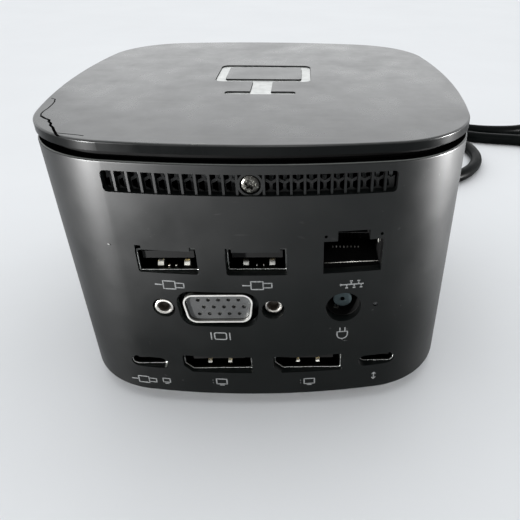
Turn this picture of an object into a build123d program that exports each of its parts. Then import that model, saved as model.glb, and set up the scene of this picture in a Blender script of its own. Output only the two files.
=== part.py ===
from build123d import *
import math
import os

# Laptop docking station: a rounded cube with its sockets on the -Y face, a lid with an inlaid emblem, three circuit
# boards on posts inside, a blower that breathes out through the vent above the sockets, and a captive cable.
# Millimetres. The origin is the middle of the footprint on the table, +Z is up and the socket face looks along -Y.

# ---- Overall sizes ----
width = 100.0
depth = 100.0
height = 70.0
side_bow = 5.5            # how far the middle of each side stands out from the line between its corners
corner_radius = 22.6
wall = 2.2
fit = 0.15                # gap between a fixed piece and the opening that it sits in
socket_gap = 0.12         # gap round a socket in its opening in the shell

# ---- Foot, base and shell ----
foot_height = 1.2
foot_inset = 4.0
foot_width = 3.0
base_floor = 2.2
base_wall = 1.6
base_rim_top = 8.0
shell_bottom = 4.0
base_chamfer = 1.0
air_slot_length = 30.0
air_slot_width = 2.0
air_slot_pitch = 5.0
air_slot_count = 7

# ---- Lid and its carrier ----
lid_thickness = 2.0
lid_gap = 1.8             # dark recess between the shell and the lid
lid_edge_radius = 0.45
carrier_floor = 1.6
carrier_ring = 3.2
shell_edge = 0.5
emblem_width = 25.0
emblem_screen_height = 18.0
emblem_height = 30.0
emblem_line = 2.4
emblem_neck = 5.0
emblem_foot = 17.0
emblem_recess = 0.7
emblem_thickness = 0.35
emblem_gap = 0.1

# ---- Vent over the sockets ----
vent_from_top = 8.2       # middle of the vent below the top of the lid
vent_height = 4.6
vent_corner = 0.9
slot_pitch = 2.71
rib = 0.48
rib_setback = 0.45        # of the ribs and the screw's boss behind the face
slots_each_side = 10
first_slot = 4.0          # middle of the first slot from the screw
boss_radius = 2.6
screw_head_radius = 1.95
screw_head_height = 1.3
screw_radius = 1.2
screw_length = 9.0
screw_sink = 0.1
screen_thickness = 0.3    # honeycomb dust screen behind the ribs
screen_gap = 0.1
screen_margin = 0.2
screen_strand = 0.6

# ---- Sockets: places on the socket face (x, z) and sizes ----
usb_a_width, usb_a_height, usb_a_depth = 13.0, 5.6, 14.0
usb_a_wall = 0.35
usb_a_tongue_width, usb_a_tongue_height, usb_a_tongue_depth = 11.1, 1.84, 8.5
usb_a_leg = 1.4
usb_a_notch_width, usb_a_notch_height = 1.3, 1.1
tongue_setback = 0.9      # from a socket's mouth to the tip of its tongue
usb_a_z = 43.5
usb_a_xs = {"left": -19.0, "right": 0.3}
ethernet_x = 21.2
ethernet_width, ethernet_height, ethernet_depth = 16.0, 13.2, 20.0
plug_hole_width, plug_hole_height, plug_hole_depth = 12.7, 7.9, 12.0
plug_hole_z = 44.65
latch_width, latch_height = 6.7, 2.4
pinhole_radius = 0.35
pinhole_lift = 1.3        # over the step beside the latch
vga_x, vga_z = -9.05, 31.0
vga_top_width, vga_bottom_width, vga_height = 16.4, 14.2, 7.9
vga_corner = 2.4
vga_wall = 0.4
vga_margin = 1.0          # round the metal shell in its opening, above and below
vga_side_margin = 1.5     # and at its sides
vga_screw_spacing = 25.0
vga_screw_radius = 2.15
vga_screw_bore = 1.42
vga_screw_hole = 2.6
vga_screw_length = 4.6
vga_flange_width, vga_body_height, vga_body_depth = 31.0, 12.5, 11.0
vga_flange = 0.8
pin_pitch, pin_row = 2.29, 1.98
pin_hole = 0.45
pin_hole_depth = 3.0
dc_x, dc_z = 19.6, 30.9
dc_hole = 4.1
dc_bore = 3.7
dc_bore_depth = 9.0
dc_post, dc_post_bore, dc_post_recess = 2.15, 0.55, 3.4
dc_width, dc_depth = 12.4, 14.0
light_x, light_z = 27.1, 31.1
light_radius = 0.5
displayport_width, displayport_height, displayport_depth = 16.7, 5.1, 14.0
displayport_chamfer = 1.9
displayport_wall = 0.35
displayport_tongue_width, displayport_tongue_height, displayport_tongue_depth = 12.6, 1.1, 8.0
displayport_xs = {"left": -10.75, "right": 11.4}
displayport_z = 13.9
usb_c_width, usb_c_height, usb_c_depth = 9.0, 3.2, 8.0
usb_c_wall = 0.3
usb_c_tongue_width, usb_c_tongue_height, usb_c_tongue_depth = 6.7, 0.7, 5.0
usb_c_xs = {"left": -27.9, "right": 28.7}
usb_c_z = 13.4
usb_c_front_x = -24.0
usb_a_side_y = -8.0
audio_y = 12.0
audio_width, audio_height, audio_depth = 7.0, 6.0, 12.0
audio_collar, audio_bore = 2.9, 1.8
audio_bore_depth = 9.0
lock_y = 8.0
lock_width, lock_height = 7.0, 3.0
lock_plate_width, lock_plate_height, lock_plate_thickness = 14.0, 9.0, 2.6

# ---- Boards and posts ----
board = 1.6
board_inset = 4.2
post_x, post_y = 37.0, 28.0
post_room = 0.8           # least gap between the blower and a post
post_flats = 5.0
post_bore = 1.1
base_screw_radius = 1.05
base_screw_length = 5.0
base_head_radius = 2.4
base_head_height = 1.2
link_length, link_width = 24.0, 6.0
link_x, link_y = -14.0, 12.0

# ---- Heat sink and blower ----
plate_thickness = 1.5
sink_plate_inset = 6.0
sink_height = 11.2        # from the top of the plate to just under the lid carrier
fin = 0.8
fin_depth = 12.0
fin_gap = 0.6             # between the fins and the inner wall
fan_y = 7.0
fan_side = 3.0            # from the chamber to the outside of the housing
fan_height = 9.0
fan_wall = 1.0
fan_chamber = 27.0
fan_outlet = 46.0
rotor_gap = 3.0
rotor_height = 5.6
hub_radius = 9.0
blade_count = 13
blade = 1.2
shaft_radius = 1.5
shaft_fit = 0.05
bearing_radius = 3.0
fan_inlet = 17.0
rotor_lift = 0.8

# ---- Power button, on the +Y face ----
button_x, button_z = -12.0, 31.0
button_radius = 4.5
button_gap = 0.3
button_ring_width = 1.4
button_proud = 0.5
button_travel = 0.6
button_flange = 0.7
stem_radius = 2.0
stem_length = 4.0
plunger_radius = 1.2
plunger_gap = 0.05
plunger_length = 2.2
plunger_engaged = 1.0
switch_width, switch_depth = 7.0, 4.0

# ---- Captive cable and its plug ----
cable_diameter = 5.8
cable_x, cable_z = 12.0, 16.5
relief_radius = 4.4
relief_tip_radius = 3.4
relief_end = 71.0
relief_block_width, relief_block_depth = 13.0, 5.0
lying = cable_diameter / 2 + 0.05
cable_route = [
    (cable_x, relief_end, cable_z), (12, 85.5, 16.5), (12.5, 104, 11), (14, 122, 5), (20, 139, lying),
    (33, 154, lying), (51, 164.5, lying), (70, 166, lying), (88, 158, lying), (107, 145.3, lying),
    (137, 141, lying), (152, 132, lying), (169.2, 119, lying), (194.8, 119.5, lying), (213, 137.2, lying),
    (213, 162.8, lying), (194.8, 181, lying), (169.2, 181, lying), (153, 167, lying), (137, 157, lying),
    (112, 157.3, lying), (91, 169, lying), (69, 177, lying), (45, 177, lying), (22, 169, lying),
    (5, 155, lying), (-6, 135, lying), (-8, 112, lying), (0, 93, lying), (18, 82.5, lying),
    (40, 79.5, lying), (62.5, 81, lying), (86.6, 88.8, lying), (101.5, 109.3, lying), (101.2, 132.1, lying),
    (89.4, 148.4, lying), (70.2, 154.6, lying), (51.3, 148.6, lying), (40, 133, lying),
]
plug_width, plug_thickness, plug_length = 12.0, 6.6, 20.0
plug_tip_width, plug_tip_thickness, plug_tip_length = 8.3, 2.4, 6.6

# ---- Levels worked out from the sizes above ----
base_bottom = foot_height
floor_top = base_bottom + base_floor
lower_board_top = displayport_z - displayport_height / 2
middle_board_top = vga_z - vga_body_height / 2
upper_board_top = usb_a_z - usb_a_height / 2 - usb_a_leg
lid_bottom = height - lid_thickness
shell_top = lid_bottom - lid_gap
carrier_bottom = shell_top - carrier_floor
sink_top = carrier_bottom - 0.4
plate_top = sink_top - sink_height + plate_thickness
plate_bottom = plate_top - plate_thickness
vent_z = height - vent_from_top
fan_size = 2 * (fan_chamber + fan_side)
rotor_radius = fan_chamber - rotor_gap
carrier_inset = wall + fit
post_out = max(post_x, fan_size / 2 + post_room + post_flats / math.sqrt(3))
post_places = [(sx * post_out, sy * post_y) for sx in (-1, 1) for sy in (-1, 1)]

os.makedirs("parts", exist_ok=True)


def save(name, shape):
    """Write one sub-part, under its node's name."""
    solids = shape.solids()
    export_step(solids[0] if len(solids) == 1 else Compound(children=solids), f"parts/{name}.step")


# ---- Shapes that repeat ----
def side_radius(span):
    """Radius of a bowed side, from the distance between its corners."""
    half = span / 2 - side_bow
    return (half ** 2 + side_bow ** 2) / (2 * side_bow)


def outline(inset=0.0):
    """Footprint of the dock: four bowed sides and rounded corners, drawn in by the inset."""
    discs = []
    for quarter in range(4):
        size, span = (width, depth) if quarter % 2 == 0 else (depth, width)
        radius = side_radius(span)
        disc = Pos(size / 2 - radius, 0) * Rot(0, 0, 180) * Circle(radius - inset)
        discs.append(Rot(0, 0, 90 * quarter) * disc)
    footprint = discs[0] & discs[1] & discs[2] & discs[3]
    return fillet(footprint.vertices(), corner_radius - inset)


def slab(low, high, inset=0.0):
    """Block of the dock's footprint between two heights."""
    return Pos(0, 0, low) * extrude(outline(inset), amount=high - low)


def reach(axis, across, inset=0.0):
    """How far the footprint stands from the middle of the dock along an axis, at a place across it."""
    if axis == Axis.X:
        line = outline(inset) & Pos(0, across) * Rectangle(width, 0.001)
        return line.bounding_box().max.X
    line = outline(inset) & Pos(across, 0) * Rectangle(0.001, depth)
    return line.bounding_box().max.Y


def face_y(x, inset=0.0):
    """Height of the socket face along Y, at x."""
    return -reach(Axis.Y, x, inset)


def prism(profile, length, start=0.0):
    """Push a profile, drawn in x and z, back along +Y from a start."""
    return Pos(0, start, 0) * extrude(Plane.XZ * profile, amount=-length)


def rod(radius, length, start=0.0):
    """Round bar along +Y."""
    return prism(Circle(radius), length, start)


def box(x0, x1, y0, y1, z0, z1):
    """Block between two corners."""
    return Pos((x0 + x1) / 2, (y0 + y1) / 2, (z0 + z1) / 2) * Box(x1 - x0, y1 - y0, z1 - z0)


def group(shapes):
    """Like pieces that share one node."""
    return Compound(children=[solid for shape in shapes for solid in shape.solids()])


def facing(side, along, level, mouth):
    """Place of a socket: its mouth plane's distance from the middle, on one of the four sides."""
    if side == "back":
        return Pos(along, -mouth, level)
    if side == "front":
        return Pos(along, mouth, level) * Rot(0, 0, 180)
    if side == "right":
        return Pos(mouth, along, level) * Rot(0, 0, 90)
    return Pos(-mouth, along, level) * Rot(0, 0, -90)


# ---- Socket profiles ----
def usb_a_profile(grow=0.0):
    return RectangleRounded(usb_a_width + 2 * grow, usb_a_height + 2 * grow, 0.5 + max(grow, -0.3))


def usb_c_profile(grow=0.0):
    return RectangleRounded(usb_c_width + 2 * grow, usb_c_height + 2 * grow, usb_c_height / 2 + grow - 0.01)


def displayport_profile(grow=0.0):
    w, h = displayport_width / 2 + grow, displayport_height / 2 + grow
    cut = displayport_chamfer + grow * (2 - math.sqrt(2))
    outer = Polygon((-w, h), (-w, -h + cut), (-w + cut, -h), (w, -h), (w, h), align=None)
    return fillet(outer.vertices(), 0.3 + max(grow, 0))


def vga_profile(grow=0.0, sideways=None):
    wide = grow if sideways is None else sideways
    top, bottom, h = vga_top_width / 2 + wide, vga_bottom_width / 2 + wide, vga_height / 2 + grow
    outer = Polygon((-top, h), (-bottom, -h), (bottom, -h), (top, h), align=None)
    return fillet(outer.vertices(), vga_corner + grow)


def ethernet_profile(grow=0.0):
    low = plug_hole_z - plug_hole_height / 2
    step = plug_hole_z + plug_hole_height / 2
    hole = Rectangle(plug_hole_width + 2 * grow, plug_hole_height + 2 * grow)
    latch = Rectangle(latch_width + 2 * grow, latch_height + 2 * grow)
    return Pos(0, (low + step) / 2) * hole + Pos(0, step + latch_height / 2) * latch


def socket(name, place, profile, length, thickness, tongue, foot):
    """One socket: a metal shell on a foot, and a tongue that stands in it from its closed back."""
    tongue_width, tongue_height, tongue_depth, tongue_lift = tongue
    foot_wide, foot_low, foot_high = foot
    inside = tongue_depth + tongue_setback
    shell = prism(profile(0), length) - prism(profile(-thickness), inside)
    shell += box(-foot_wide / 2, foot_wide / 2, length - 4.5, length - 0.5, foot_low, foot_high)
    blade_of = box(-tongue_width / 2, tongue_width / 2, inside - tongue_depth, inside,
                   tongue_lift - tongue_height / 2, tongue_lift + tongue_height / 2)
    save(f"{name}_shell", place * shell)
    save(f"{name}_tongue", place * blade_of)


usb_a_tongue = (usb_a_tongue_width, usb_a_tongue_height, usb_a_tongue_depth, 0.75)
usb_a_foot = (usb_a_width - 2, -usb_a_height / 2 - usb_a_leg, -usb_a_height / 2 + usb_a_wall / 2)
usb_a_low_foot = (usb_a_width - 2, -usb_a_height / 2, -usb_a_height / 2 + usb_a_wall / 2)
usb_c_tongue = (usb_c_tongue_width, usb_c_tongue_height, usb_c_tongue_depth, 0.0)
usb_c_foot = (usb_c_width - 3, lower_board_top - usb_c_z, -usb_c_height / 2 + usb_c_wall / 2)
displayport_tongue = (displayport_tongue_width, displayport_tongue_height, displayport_tongue_depth, 0.5)
displayport_foot = (displayport_width - 5, -displayport_height / 2, -displayport_height / 2 + displayport_wall / 2)

# Each socket's mouth stands just inside the bowed face at its outer corner, and a pair shares one plane.
usb_a_mouth = -face_y(max(abs(x) for x in usb_a_xs.values()) + usb_a_width / 2) - 0.45
displayport_mouth = -face_y(max(abs(x) for x in displayport_xs.values()) + displayport_width / 2) - 0.8
usb_c_mouths = {k: -face_y(abs(x) + usb_c_width / 2) - 0.3 for k, x in usb_c_xs.items()}
usb_c_front_mouth = reach(Axis.Y, abs(usb_c_front_x) + usb_c_width / 2) - 0.3
usb_a_side_mouth = reach(Axis.X, abs(usb_a_side_y) + usb_a_width / 2) - 0.3
usb_a_side_z = lower_board_top + usb_a_height / 2

usb_a_places = {k: facing("back", x, usb_a_z, usb_a_mouth) for k, x in usb_a_xs.items()}
displayport_places = {k: facing("back", x, displayport_z, displayport_mouth) for k, x in displayport_xs.items()}
usb_c_places = {k: facing("back", x, usb_c_z, usb_c_mouths[k]) for k, x in usb_c_xs.items()}
usb_c_front_place = facing("front", usb_c_front_x, usb_c_z, usb_c_front_mouth)
usb_a_side_place = facing("right", usb_a_side_y, usb_a_side_z, usb_a_side_mouth)
cut_length = 3 * wall + side_bow      # long enough to pass the wall anywhere along a bowed side
cut_start = -cut_length / 2


def cutter(place, profile):
    """Opening in the shell for one socket."""
    return place * prism(profile(socket_gap), cut_length, cut_start)


for side, place in usb_a_places.items():
    socket(f"usb_a_{side}", place, usb_a_profile, usb_a_depth, usb_a_wall, usb_a_tongue, usb_a_foot)
for side, place in displayport_places.items():
    socket(f"displayport_{side}", place, displayport_profile, displayport_depth, displayport_wall,
           displayport_tongue, displayport_foot)
for side, place in usb_c_places.items():
    socket(f"usb_c_{side}", place, usb_c_profile, usb_c_depth, usb_c_wall, usb_c_tongue, usb_c_foot)
socket("usb_c_front", usb_c_front_place, usb_c_profile, usb_c_depth, usb_c_wall, usb_c_tongue, usb_c_foot)
socket("usb_a_side", usb_a_side_place, usb_a_profile, usb_a_depth, usb_a_wall, usb_a_tongue, usb_a_low_foot)

# ---- Ethernet socket: stands behind the wall, its plug hole in line with the opening ----
ethernet_front = face_y(ethernet_x + ethernet_width / 2, wall) + 0.25
ethernet_body = box(ethernet_x - ethernet_width / 2, ethernet_x + ethernet_width / 2, ethernet_front,
                    ethernet_front + ethernet_depth, upper_board_top, upper_board_top + ethernet_height)
ethernet_hole = Pos(ethernet_x, ethernet_front, 0) * prism(ethernet_profile(-0.1), plug_hole_depth, -1)
save("ethernet_jack", ethernet_body - ethernet_hole)

# ---- VGA socket: D-shaped shell on a flange, an insert with 15 pin holes, and two jackscrews ----
vga_flange_y = face_y(abs(vga_x) + vga_flange_width / 2, wall) + 0.25
vga_mouth_y = face_y(0) + 0.6
vga_screw_y = face_y(abs(vga_x) + vga_screw_spacing / 2) + 0.2
vga_front = vga_flange_y - vga_mouth_y
vga_place = Pos(vga_x, vga_mouth_y, vga_z)
vga_flange_profile = RectangleRounded(vga_flange_width, vga_body_height, 1.0)
vga_body_profile = Rectangle(vga_flange_width - 1, vga_body_height)
vga_shell = prism(vga_profile(), vga_front + vga_flange) + prism(vga_flange_profile, vga_flange, vga_front)
vga_shell -= prism(vga_profile(-vga_wall), vga_front + vga_flange + 1, -0.5)
vga_insert_start = 0.8
vga_insert = prism(vga_profile(-vga_wall - fit), vga_front + vga_flange - vga_insert_start, vga_insert_start)
vga_insert += prism(vga_body_profile, vga_body_depth, vga_front + vga_flange)
for row in (-1, 0, 1):
    for pin in range(5):
        pin_x = (pin - 2) * pin_pitch + (pin_pitch / 2 if row == 0 else 0)
        vga_insert -= Pos(pin_x, 0, row * pin_row) * rod(pin_hole, pin_hole_depth, vga_insert_start)
save("vga_shell", vga_place * vga_shell)
save("vga_insert", vga_place * vga_insert)

jackscrew = rod(vga_screw_radius, vga_flange_y - vga_screw_y) - rod(vga_screw_bore, vga_flange_y - vga_screw_y)
jackscrew_places = [Pos(vga_x + s * vga_screw_spacing / 2, vga_screw_y, vga_z) for s in (-1, 1)]
save("vga_jackscrews", group([place * jackscrew for place in jackscrew_places]))

# ---- DC power socket and its post ----
dc_front = face_y(dc_x + dc_width / 2, wall) + 0.25
dc_body = box(dc_x - dc_width / 2, dc_x + dc_width / 2, dc_front, dc_front + dc_depth, middle_board_top, dc_z + 6)
dc_body += Pos(dc_x, dc_front - 1.2, dc_z) * rod(dc_hole - socket_gap, 1.4)
save("dc_socket", dc_body - Pos(dc_x, dc_front, dc_z) * rod(dc_bore, dc_bore_depth + 1.2, -1.2))
dc_post_front = face_y(dc_x) + dc_post_recess
dc_post_length = dc_front + dc_bore_depth - dc_post_front
save("dc_post", Pos(dc_x, dc_post_front, dc_z) * (rod(dc_post, dc_post_length) - rod(dc_post_bore, 4.0)))

# ---- Status light pipe, from the face to the middle board ----
light_front = face_y(light_x) + 0.3
light_back = face_y(light_x, wall) + 4.0
status_light = rod(light_radius, light_back - light_front, light_front)
status_light = Pos(light_x, 0, light_z) * status_light
status_light += box(light_x - 0.5, light_x + 0.5, light_back - 1.5, light_back, middle_board_top, light_z)
save("status_light", status_light)

# ---- Audio socket, on the +X side ----
audio_z = lower_board_top + audio_height / 2
audio_mouth = reach(Axis.X, audio_y + audio_collar) - 0.3
audio_back_step = reach(Axis.X, audio_y + audio_width / 2, wall) - 0.25
audio_place = facing("right", audio_y, audio_z, audio_mouth)
audio_jack = rod(audio_collar, audio_mouth - audio_back_step + 0.5)
audio_jack += prism(Rectangle(audio_width, audio_height), audio_depth, audio_mouth - audio_back_step)
audio_jack -= rod(audio_bore, audio_bore_depth)
save("audio_jack", audio_place * audio_jack)

# ---- Lock plate, behind the slot on the -X side ----
lock_face = reach(Axis.X, abs(lock_y) + lock_plate_width / 2, wall) - 0.25
lock_z = lower_board_top + lock_plate_height / 2
lock_place = facing("left", lock_y, lock_z, lock_face)
lock_plate = lock_place * prism(Rectangle(lock_plate_width, lock_plate_height), lock_plate_thickness)
lock_cut = RectangleRounded(lock_width, lock_height, 0.6)
save("lock_plate", lock_plate - lock_place * prism(lock_cut, lock_plate_thickness))

# ---- Outer shell ----
outer_shell = slab(shell_bottom, shell_top)
outer_shell = fillet(outer_shell.faces().sort_by(Axis.Z)[-1].edges(), shell_edge)
outer_shell -= slab(shell_bottom, shell_top, wall)

# The vent is one long opening; its ribs and the screw's boss stand in it, set back behind the face.
vent_place = Pos(0, -depth / 2, vent_z)
screw_place = Pos(0, face_y(0) + rib_setback, vent_z)
vent_length = 2 * first_slot + (2 * slots_each_side - 1) * slot_pitch - rib
vent_profile = RectangleRounded(vent_length, vent_height, vent_corner)
bars = Sketch() + Circle(boss_radius)
for side in (-1, 1):
    for i in range(slots_each_side):
        bars += Pos(side * (first_slot + (i - 0.5) * slot_pitch), 0) * Rectangle(rib, vent_height)
bars &= vent_profile
vent_bars = vent_place * prism(bars, cut_length, cut_start)
vent_bars &= slab(shell_bottom, shell_top, rib_setback) - slab(shell_bottom, shell_top, wall)
outer_shell -= vent_place * prism(vent_profile, cut_length, cut_start)
outer_shell += vent_bars

outer_shell -= screw_place * rod(screw_radius + fit, cut_length, cut_start)
outer_shell -= screw_place * rod(screw_head_radius + fit, screw_head_height + screw_sink + 1, -1)

notch = Rectangle(usb_a_notch_width, 2 * usb_a_notch_height)
notch_x, notch_z = (usb_a_width - usb_a_notch_width) / 2, usb_a_height / 2
notches = Pos(-notch_x, notch_z) * notch + Pos(notch_x, notch_z) * notch
for place in usb_a_places.values():
    outer_shell -= cutter(place, usb_a_profile)
    outer_shell -= place * prism(notches, cut_length, cut_start)
for place in displayport_places.values():
    outer_shell -= cutter(place, displayport_profile)
for place in list(usb_c_places.values()) + [usb_c_front_place]:
    outer_shell -= cutter(place, usb_c_profile)
outer_shell -= cutter(usb_a_side_place, usb_a_profile)
outer_shell -= Pos(ethernet_x, -depth / 2, 0) * prism(ethernet_profile(0.1), cut_length, cut_start)
for side in (-1, 1):
    pinhole = Pos(ethernet_x + side * plug_hole_width / 2 - side * pinhole_radius, -depth / 2,
                  plug_hole_z + plug_hole_height / 2 + pinhole_lift)
    outer_shell -= pinhole * rod(pinhole_radius, cut_length, cut_start)
outer_shell -= vga_place * prism(vga_profile(vga_margin, vga_side_margin), cut_length, cut_start)
for place in jackscrew_places:
    outer_shell -= place * rod(vga_screw_hole, cut_length, cut_start)
outer_shell -= Pos(dc_x, -depth / 2, dc_z) * rod(dc_hole, cut_length, cut_start)
outer_shell -= Pos(light_x, -depth / 2, light_z) * rod(light_radius + 0.1, cut_length, cut_start)
outer_shell -= audio_place * rod(audio_collar + socket_gap, cut_length, cut_start)
outer_shell -= facing("left", lock_y, lock_z, width / 2) * prism(lock_cut, cut_length, cut_start)
button_place = facing("front", button_x, button_z, depth / 2)
ring_radius = button_radius + button_gap + button_ring_width
outer_shell -= button_place * rod(ring_radius + 0.1, cut_length, cut_start)
relief_place = facing("front", cable_x, cable_z, depth / 2)
outer_shell -= relief_place * rod(relief_radius + fit, cut_length, cut_start)
save("outer_shell", outer_shell)

# ---- Base with air slots, its foot ring and screws ----
base_plate = slab(base_bottom, base_rim_top, wall + fit)
base_plate = chamfer(base_plate.faces().sort_by(Axis.Z)[0].edges(), base_chamfer)
base_plate -= slab(floor_top, base_rim_top, wall + fit + base_wall)
for i in range(air_slot_count):
    slot = SlotOverall(air_slot_length, air_slot_width)
    slot_y = (i - (air_slot_count - 1) / 2) * air_slot_pitch
    base_plate -= Pos(0, slot_y, base_bottom) * extrude(slot, amount=base_floor)
for x, y in post_places:
    base_plate -= Pos(x, y, base_bottom) * extrude(Circle(base_head_radius + fit), amount=base_head_height)
    base_plate -= Pos(x, y, base_bottom) * extrude(Circle(base_screw_radius + fit), amount=base_floor)
save("base_plate", base_plate)
save("foot_ring", slab(0, foot_height, foot_inset) - slab(0, foot_height, foot_inset + foot_width))

base_screw = extrude(Circle(base_head_radius), amount=base_head_height)
base_screw += extrude(Circle(base_screw_radius), amount=base_head_height + base_screw_length)
save("base_screws", group([Pos(x, y, base_bottom) * base_screw for x, y in post_places]))


# ---- Boards, posts and the links between boards ----
def posts(low, high):
    """Four tapped hexagon posts between two levels."""
    post = RegularPolygon(post_flats / 2, 6, major_radius=False) - Circle(post_bore)
    return group([Pos(x, y, low) * extrude(post, amount=high - low) for x, y in post_places])


def link(low, high, shift):
    """Plug and socket that carry signals from one board up to the next."""
    x, y = link_x + shift, link_y
    plug = box(x - link_length / 2, x + link_length / 2, y - link_width / 2, y + link_width / 2, low, high)
    collar_size = 0.8
    middle = (low + high) / 2
    return plug + box(x - link_length / 2 - collar_size, x + link_length / 2 + collar_size,
                      y - link_width / 2 - collar_size, y + link_width / 2 + collar_size, low, middle)


board_tops = {"lower": lower_board_top, "middle": middle_board_top, "upper": upper_board_top}
for level, top in board_tops.items():
    save(f"{level}_board", slab(top - board, top, board_inset))
save("posts_lower", posts(floor_top, lower_board_top - board))
save("posts_middle", posts(lower_board_top, middle_board_top - board))
save("posts_upper", posts(middle_board_top, upper_board_top - board))
save("posts_top", posts(upper_board_top, plate_bottom))
save("lid_posts", posts(plate_top, carrier_bottom))
save("board_link_lower", link(lower_board_top, middle_board_top - board, 0))
save("board_link_upper", link(middle_board_top, upper_board_top - board, 6))

# ---- Heat sink: a plate over the boards, with fins behind the vent and a block for the vent screw ----
heat_sink = slab(plate_bottom, plate_top, sink_plate_inset)
fin_front_at = first_slot + (slots_each_side - 1) * slot_pitch
fin_front = face_y(fin_front_at + fin, wall) + fin_gap
for side in (-1, 1):
    for i in range(slots_each_side):
        x = side * (first_slot + i * slot_pitch)
        heat_sink += box(x - fin / 2, x + fin / 2, fin_front, fin_front + fin_depth, plate_top - 0.1, sink_top)
sink_front = fin_front - 1.5
heat_sink += box(-first_slot - fin / 2, first_slot + fin / 2, fin_front + fin_depth - 2, fin_front + fin_depth,
                 plate_top - 0.1, sink_top)
heat_sink += box(-2.4, 2.4, sink_front, fin_front + fin_depth - 1, plate_top - 0.1, sink_top)
heat_sink -= screw_place * rod(screw_radius + fit, screw_head_height + screw_length + 0.5)
save("heat_sink", heat_sink)

vent_screw = rod(screw_head_radius, screw_head_height) + rod(screw_radius, screw_head_height + screw_length)
vent_screw -= prism(Rectangle(2.2, 0.5) + Rectangle(0.5, 2.2), 0.7)
save("vent_screw", Pos(0, screw_sink, 0) * screw_place * vent_screw)

# ---- Honeycomb dust screen, between the vent and the fins ----
screen_half = fin_front_at + fin
screen_low = vent_z - vent_height / 2 - screen_margin
screen_high = vent_z + vent_height / 2 + screen_margin
screen_outer = slab(screen_low, screen_high, wall + screen_gap)
screen_inner = slab(screen_low, screen_high, wall + screen_gap + screen_thickness)
vent_screen = screen_outer - screen_inner
vent_screen &= box(-screen_half, screen_half, -depth / 2, -depth / 4, screen_low, screen_high)
cell = Rot(0, 0, 30) * RegularPolygon((slot_pitch - screen_strand) / 2, 6, major_radius=False)
cell_rise = slot_pitch * math.sqrt(3) / 4
cells = Sketch()
for side in (-1, 1):
    for i in range(slots_each_side):
        cell_x = side * (first_slot + (i - 0.25) * slot_pitch)
        for row in (-1, 1):
            cells += Pos(cell_x + row * slot_pitch / 4, row * cell_rise) * cell
vent_screen -= vent_place * prism(cells, cut_length, cut_start)
vent_screen -= screw_place * rod(screw_radius + fit, cut_length, cut_start)
save("vent_screen", vent_screen)

# ---- Blower: housing, cover, bearing and rotor ----
fan_bottom = plate_top
fan_top = fan_bottom + fan_height
fan_place = Pos(0, fan_y, 0)
fan_square = RectangleRounded(fan_size, fan_size, 4.0)
fan_housing = fan_place * Pos(0, 0, fan_bottom) * extrude(fan_square, amount=fan_height - fan_wall)
chamber = Circle(fan_chamber) + Pos(0, -fan_size / 4) * Rectangle(fan_outlet, fan_size / 2 + 1)
fan_housing -= fan_place * Pos(0, 0, fan_bottom + fan_wall) * extrude(chamber, amount=fan_height)
fan_housing += fan_place * Pos(0, 0, fan_bottom) * extrude(Circle(bearing_radius + 1.4), amount=fan_wall + 2.2)
fan_housing -= fan_place * Pos(0, 0, fan_bottom + 0.4) * extrude(Circle(bearing_radius), amount=fan_height)
save("fan_housing", fan_housing)
fan_cover = fan_place * Pos(0, 0, fan_top - fan_wall) * extrude(fan_square - Circle(fan_inlet), amount=fan_wall)
save("fan_cover", fan_cover)
bearing_low, bearing_high = fan_bottom + 0.4, fan_bottom + fan_wall + 2.2
fan_bearing = extrude(Circle(bearing_radius) - Circle(shaft_radius + shaft_fit), amount=bearing_high - bearing_low)
save("fan_bearing", fan_place * Pos(0, 0, bearing_low) * fan_bearing)

rotor_low = fan_bottom + fan_wall + rotor_lift
hub_wall = 1.2
rotor = Pos(0, 0, rotor_low) * extrude(Circle(hub_radius), amount=rotor_height)
rotor -= Pos(0, 0, rotor_low) * extrude(Circle(hub_radius - hub_wall), amount=rotor_height - hub_wall)
rotor += Pos(0, 0, bearing_low + 0.3) * extrude(Circle(shaft_radius), amount=rotor_low + rotor_height - bearing_low - 1)
vane_length = rotor_radius - hub_radius + 0.6
vane = Pos(hub_radius - 0.6 + vane_length / 2, 0, rotor_low + rotor_height / 2)
vane = vane * Box(vane_length, blade, rotor_height)
for i in range(blade_count):
    rotor += Rot(0, 0, i * 360 / blade_count) * vane
save("fan_rotor", fan_place * rotor)

# ---- Lid carrier, lid and emblem ----
lid_carrier = slab(carrier_bottom, lid_bottom, carrier_inset)
lid_carrier -= slab(shell_top, lid_bottom, carrier_inset + carrier_ring)
save("lid_carrier", lid_carrier)


def emblem(grow=0.0):
    """A plain screen on a stand: the generic sign for a display."""
    top = emblem_height / 2
    screen_middle = top - emblem_screen_height / 2
    screen = RectangleRounded(emblem_width + 2 * grow, emblem_screen_height + 2 * grow, 2.2)
    line = emblem_line + grow
    screen -= RectangleRounded(emblem_width - 2 * line, emblem_screen_height - 2 * line, 0.8)
    neck_low = -top + emblem_line / 2
    neck_high = top - emblem_screen_height + emblem_line / 2
    neck = Pos(0, (neck_low + neck_high) / 2) * Rectangle(emblem_neck + 2 * grow, neck_high - neck_low)
    foot = Pos(0, -top + emblem_line / 2) * RectangleRounded(emblem_foot + 2 * grow, emblem_line + 2 * grow, 0.8)
    return Pos(0, screen_middle) * screen + neck + foot


top_lid = slab(lid_bottom, height)
top_lid = fillet(top_lid.faces().sort_by(Axis.Z)[-1].edges(), lid_edge_radius)
top_lid -= Pos(0, 0, height - emblem_recess) * extrude(emblem(emblem_gap), amount=emblem_recess)
save("top_lid", top_lid)
save("lid_emblem", Pos(0, 0, height - emblem_recess) * extrude(emblem(), amount=emblem_thickness))

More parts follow.
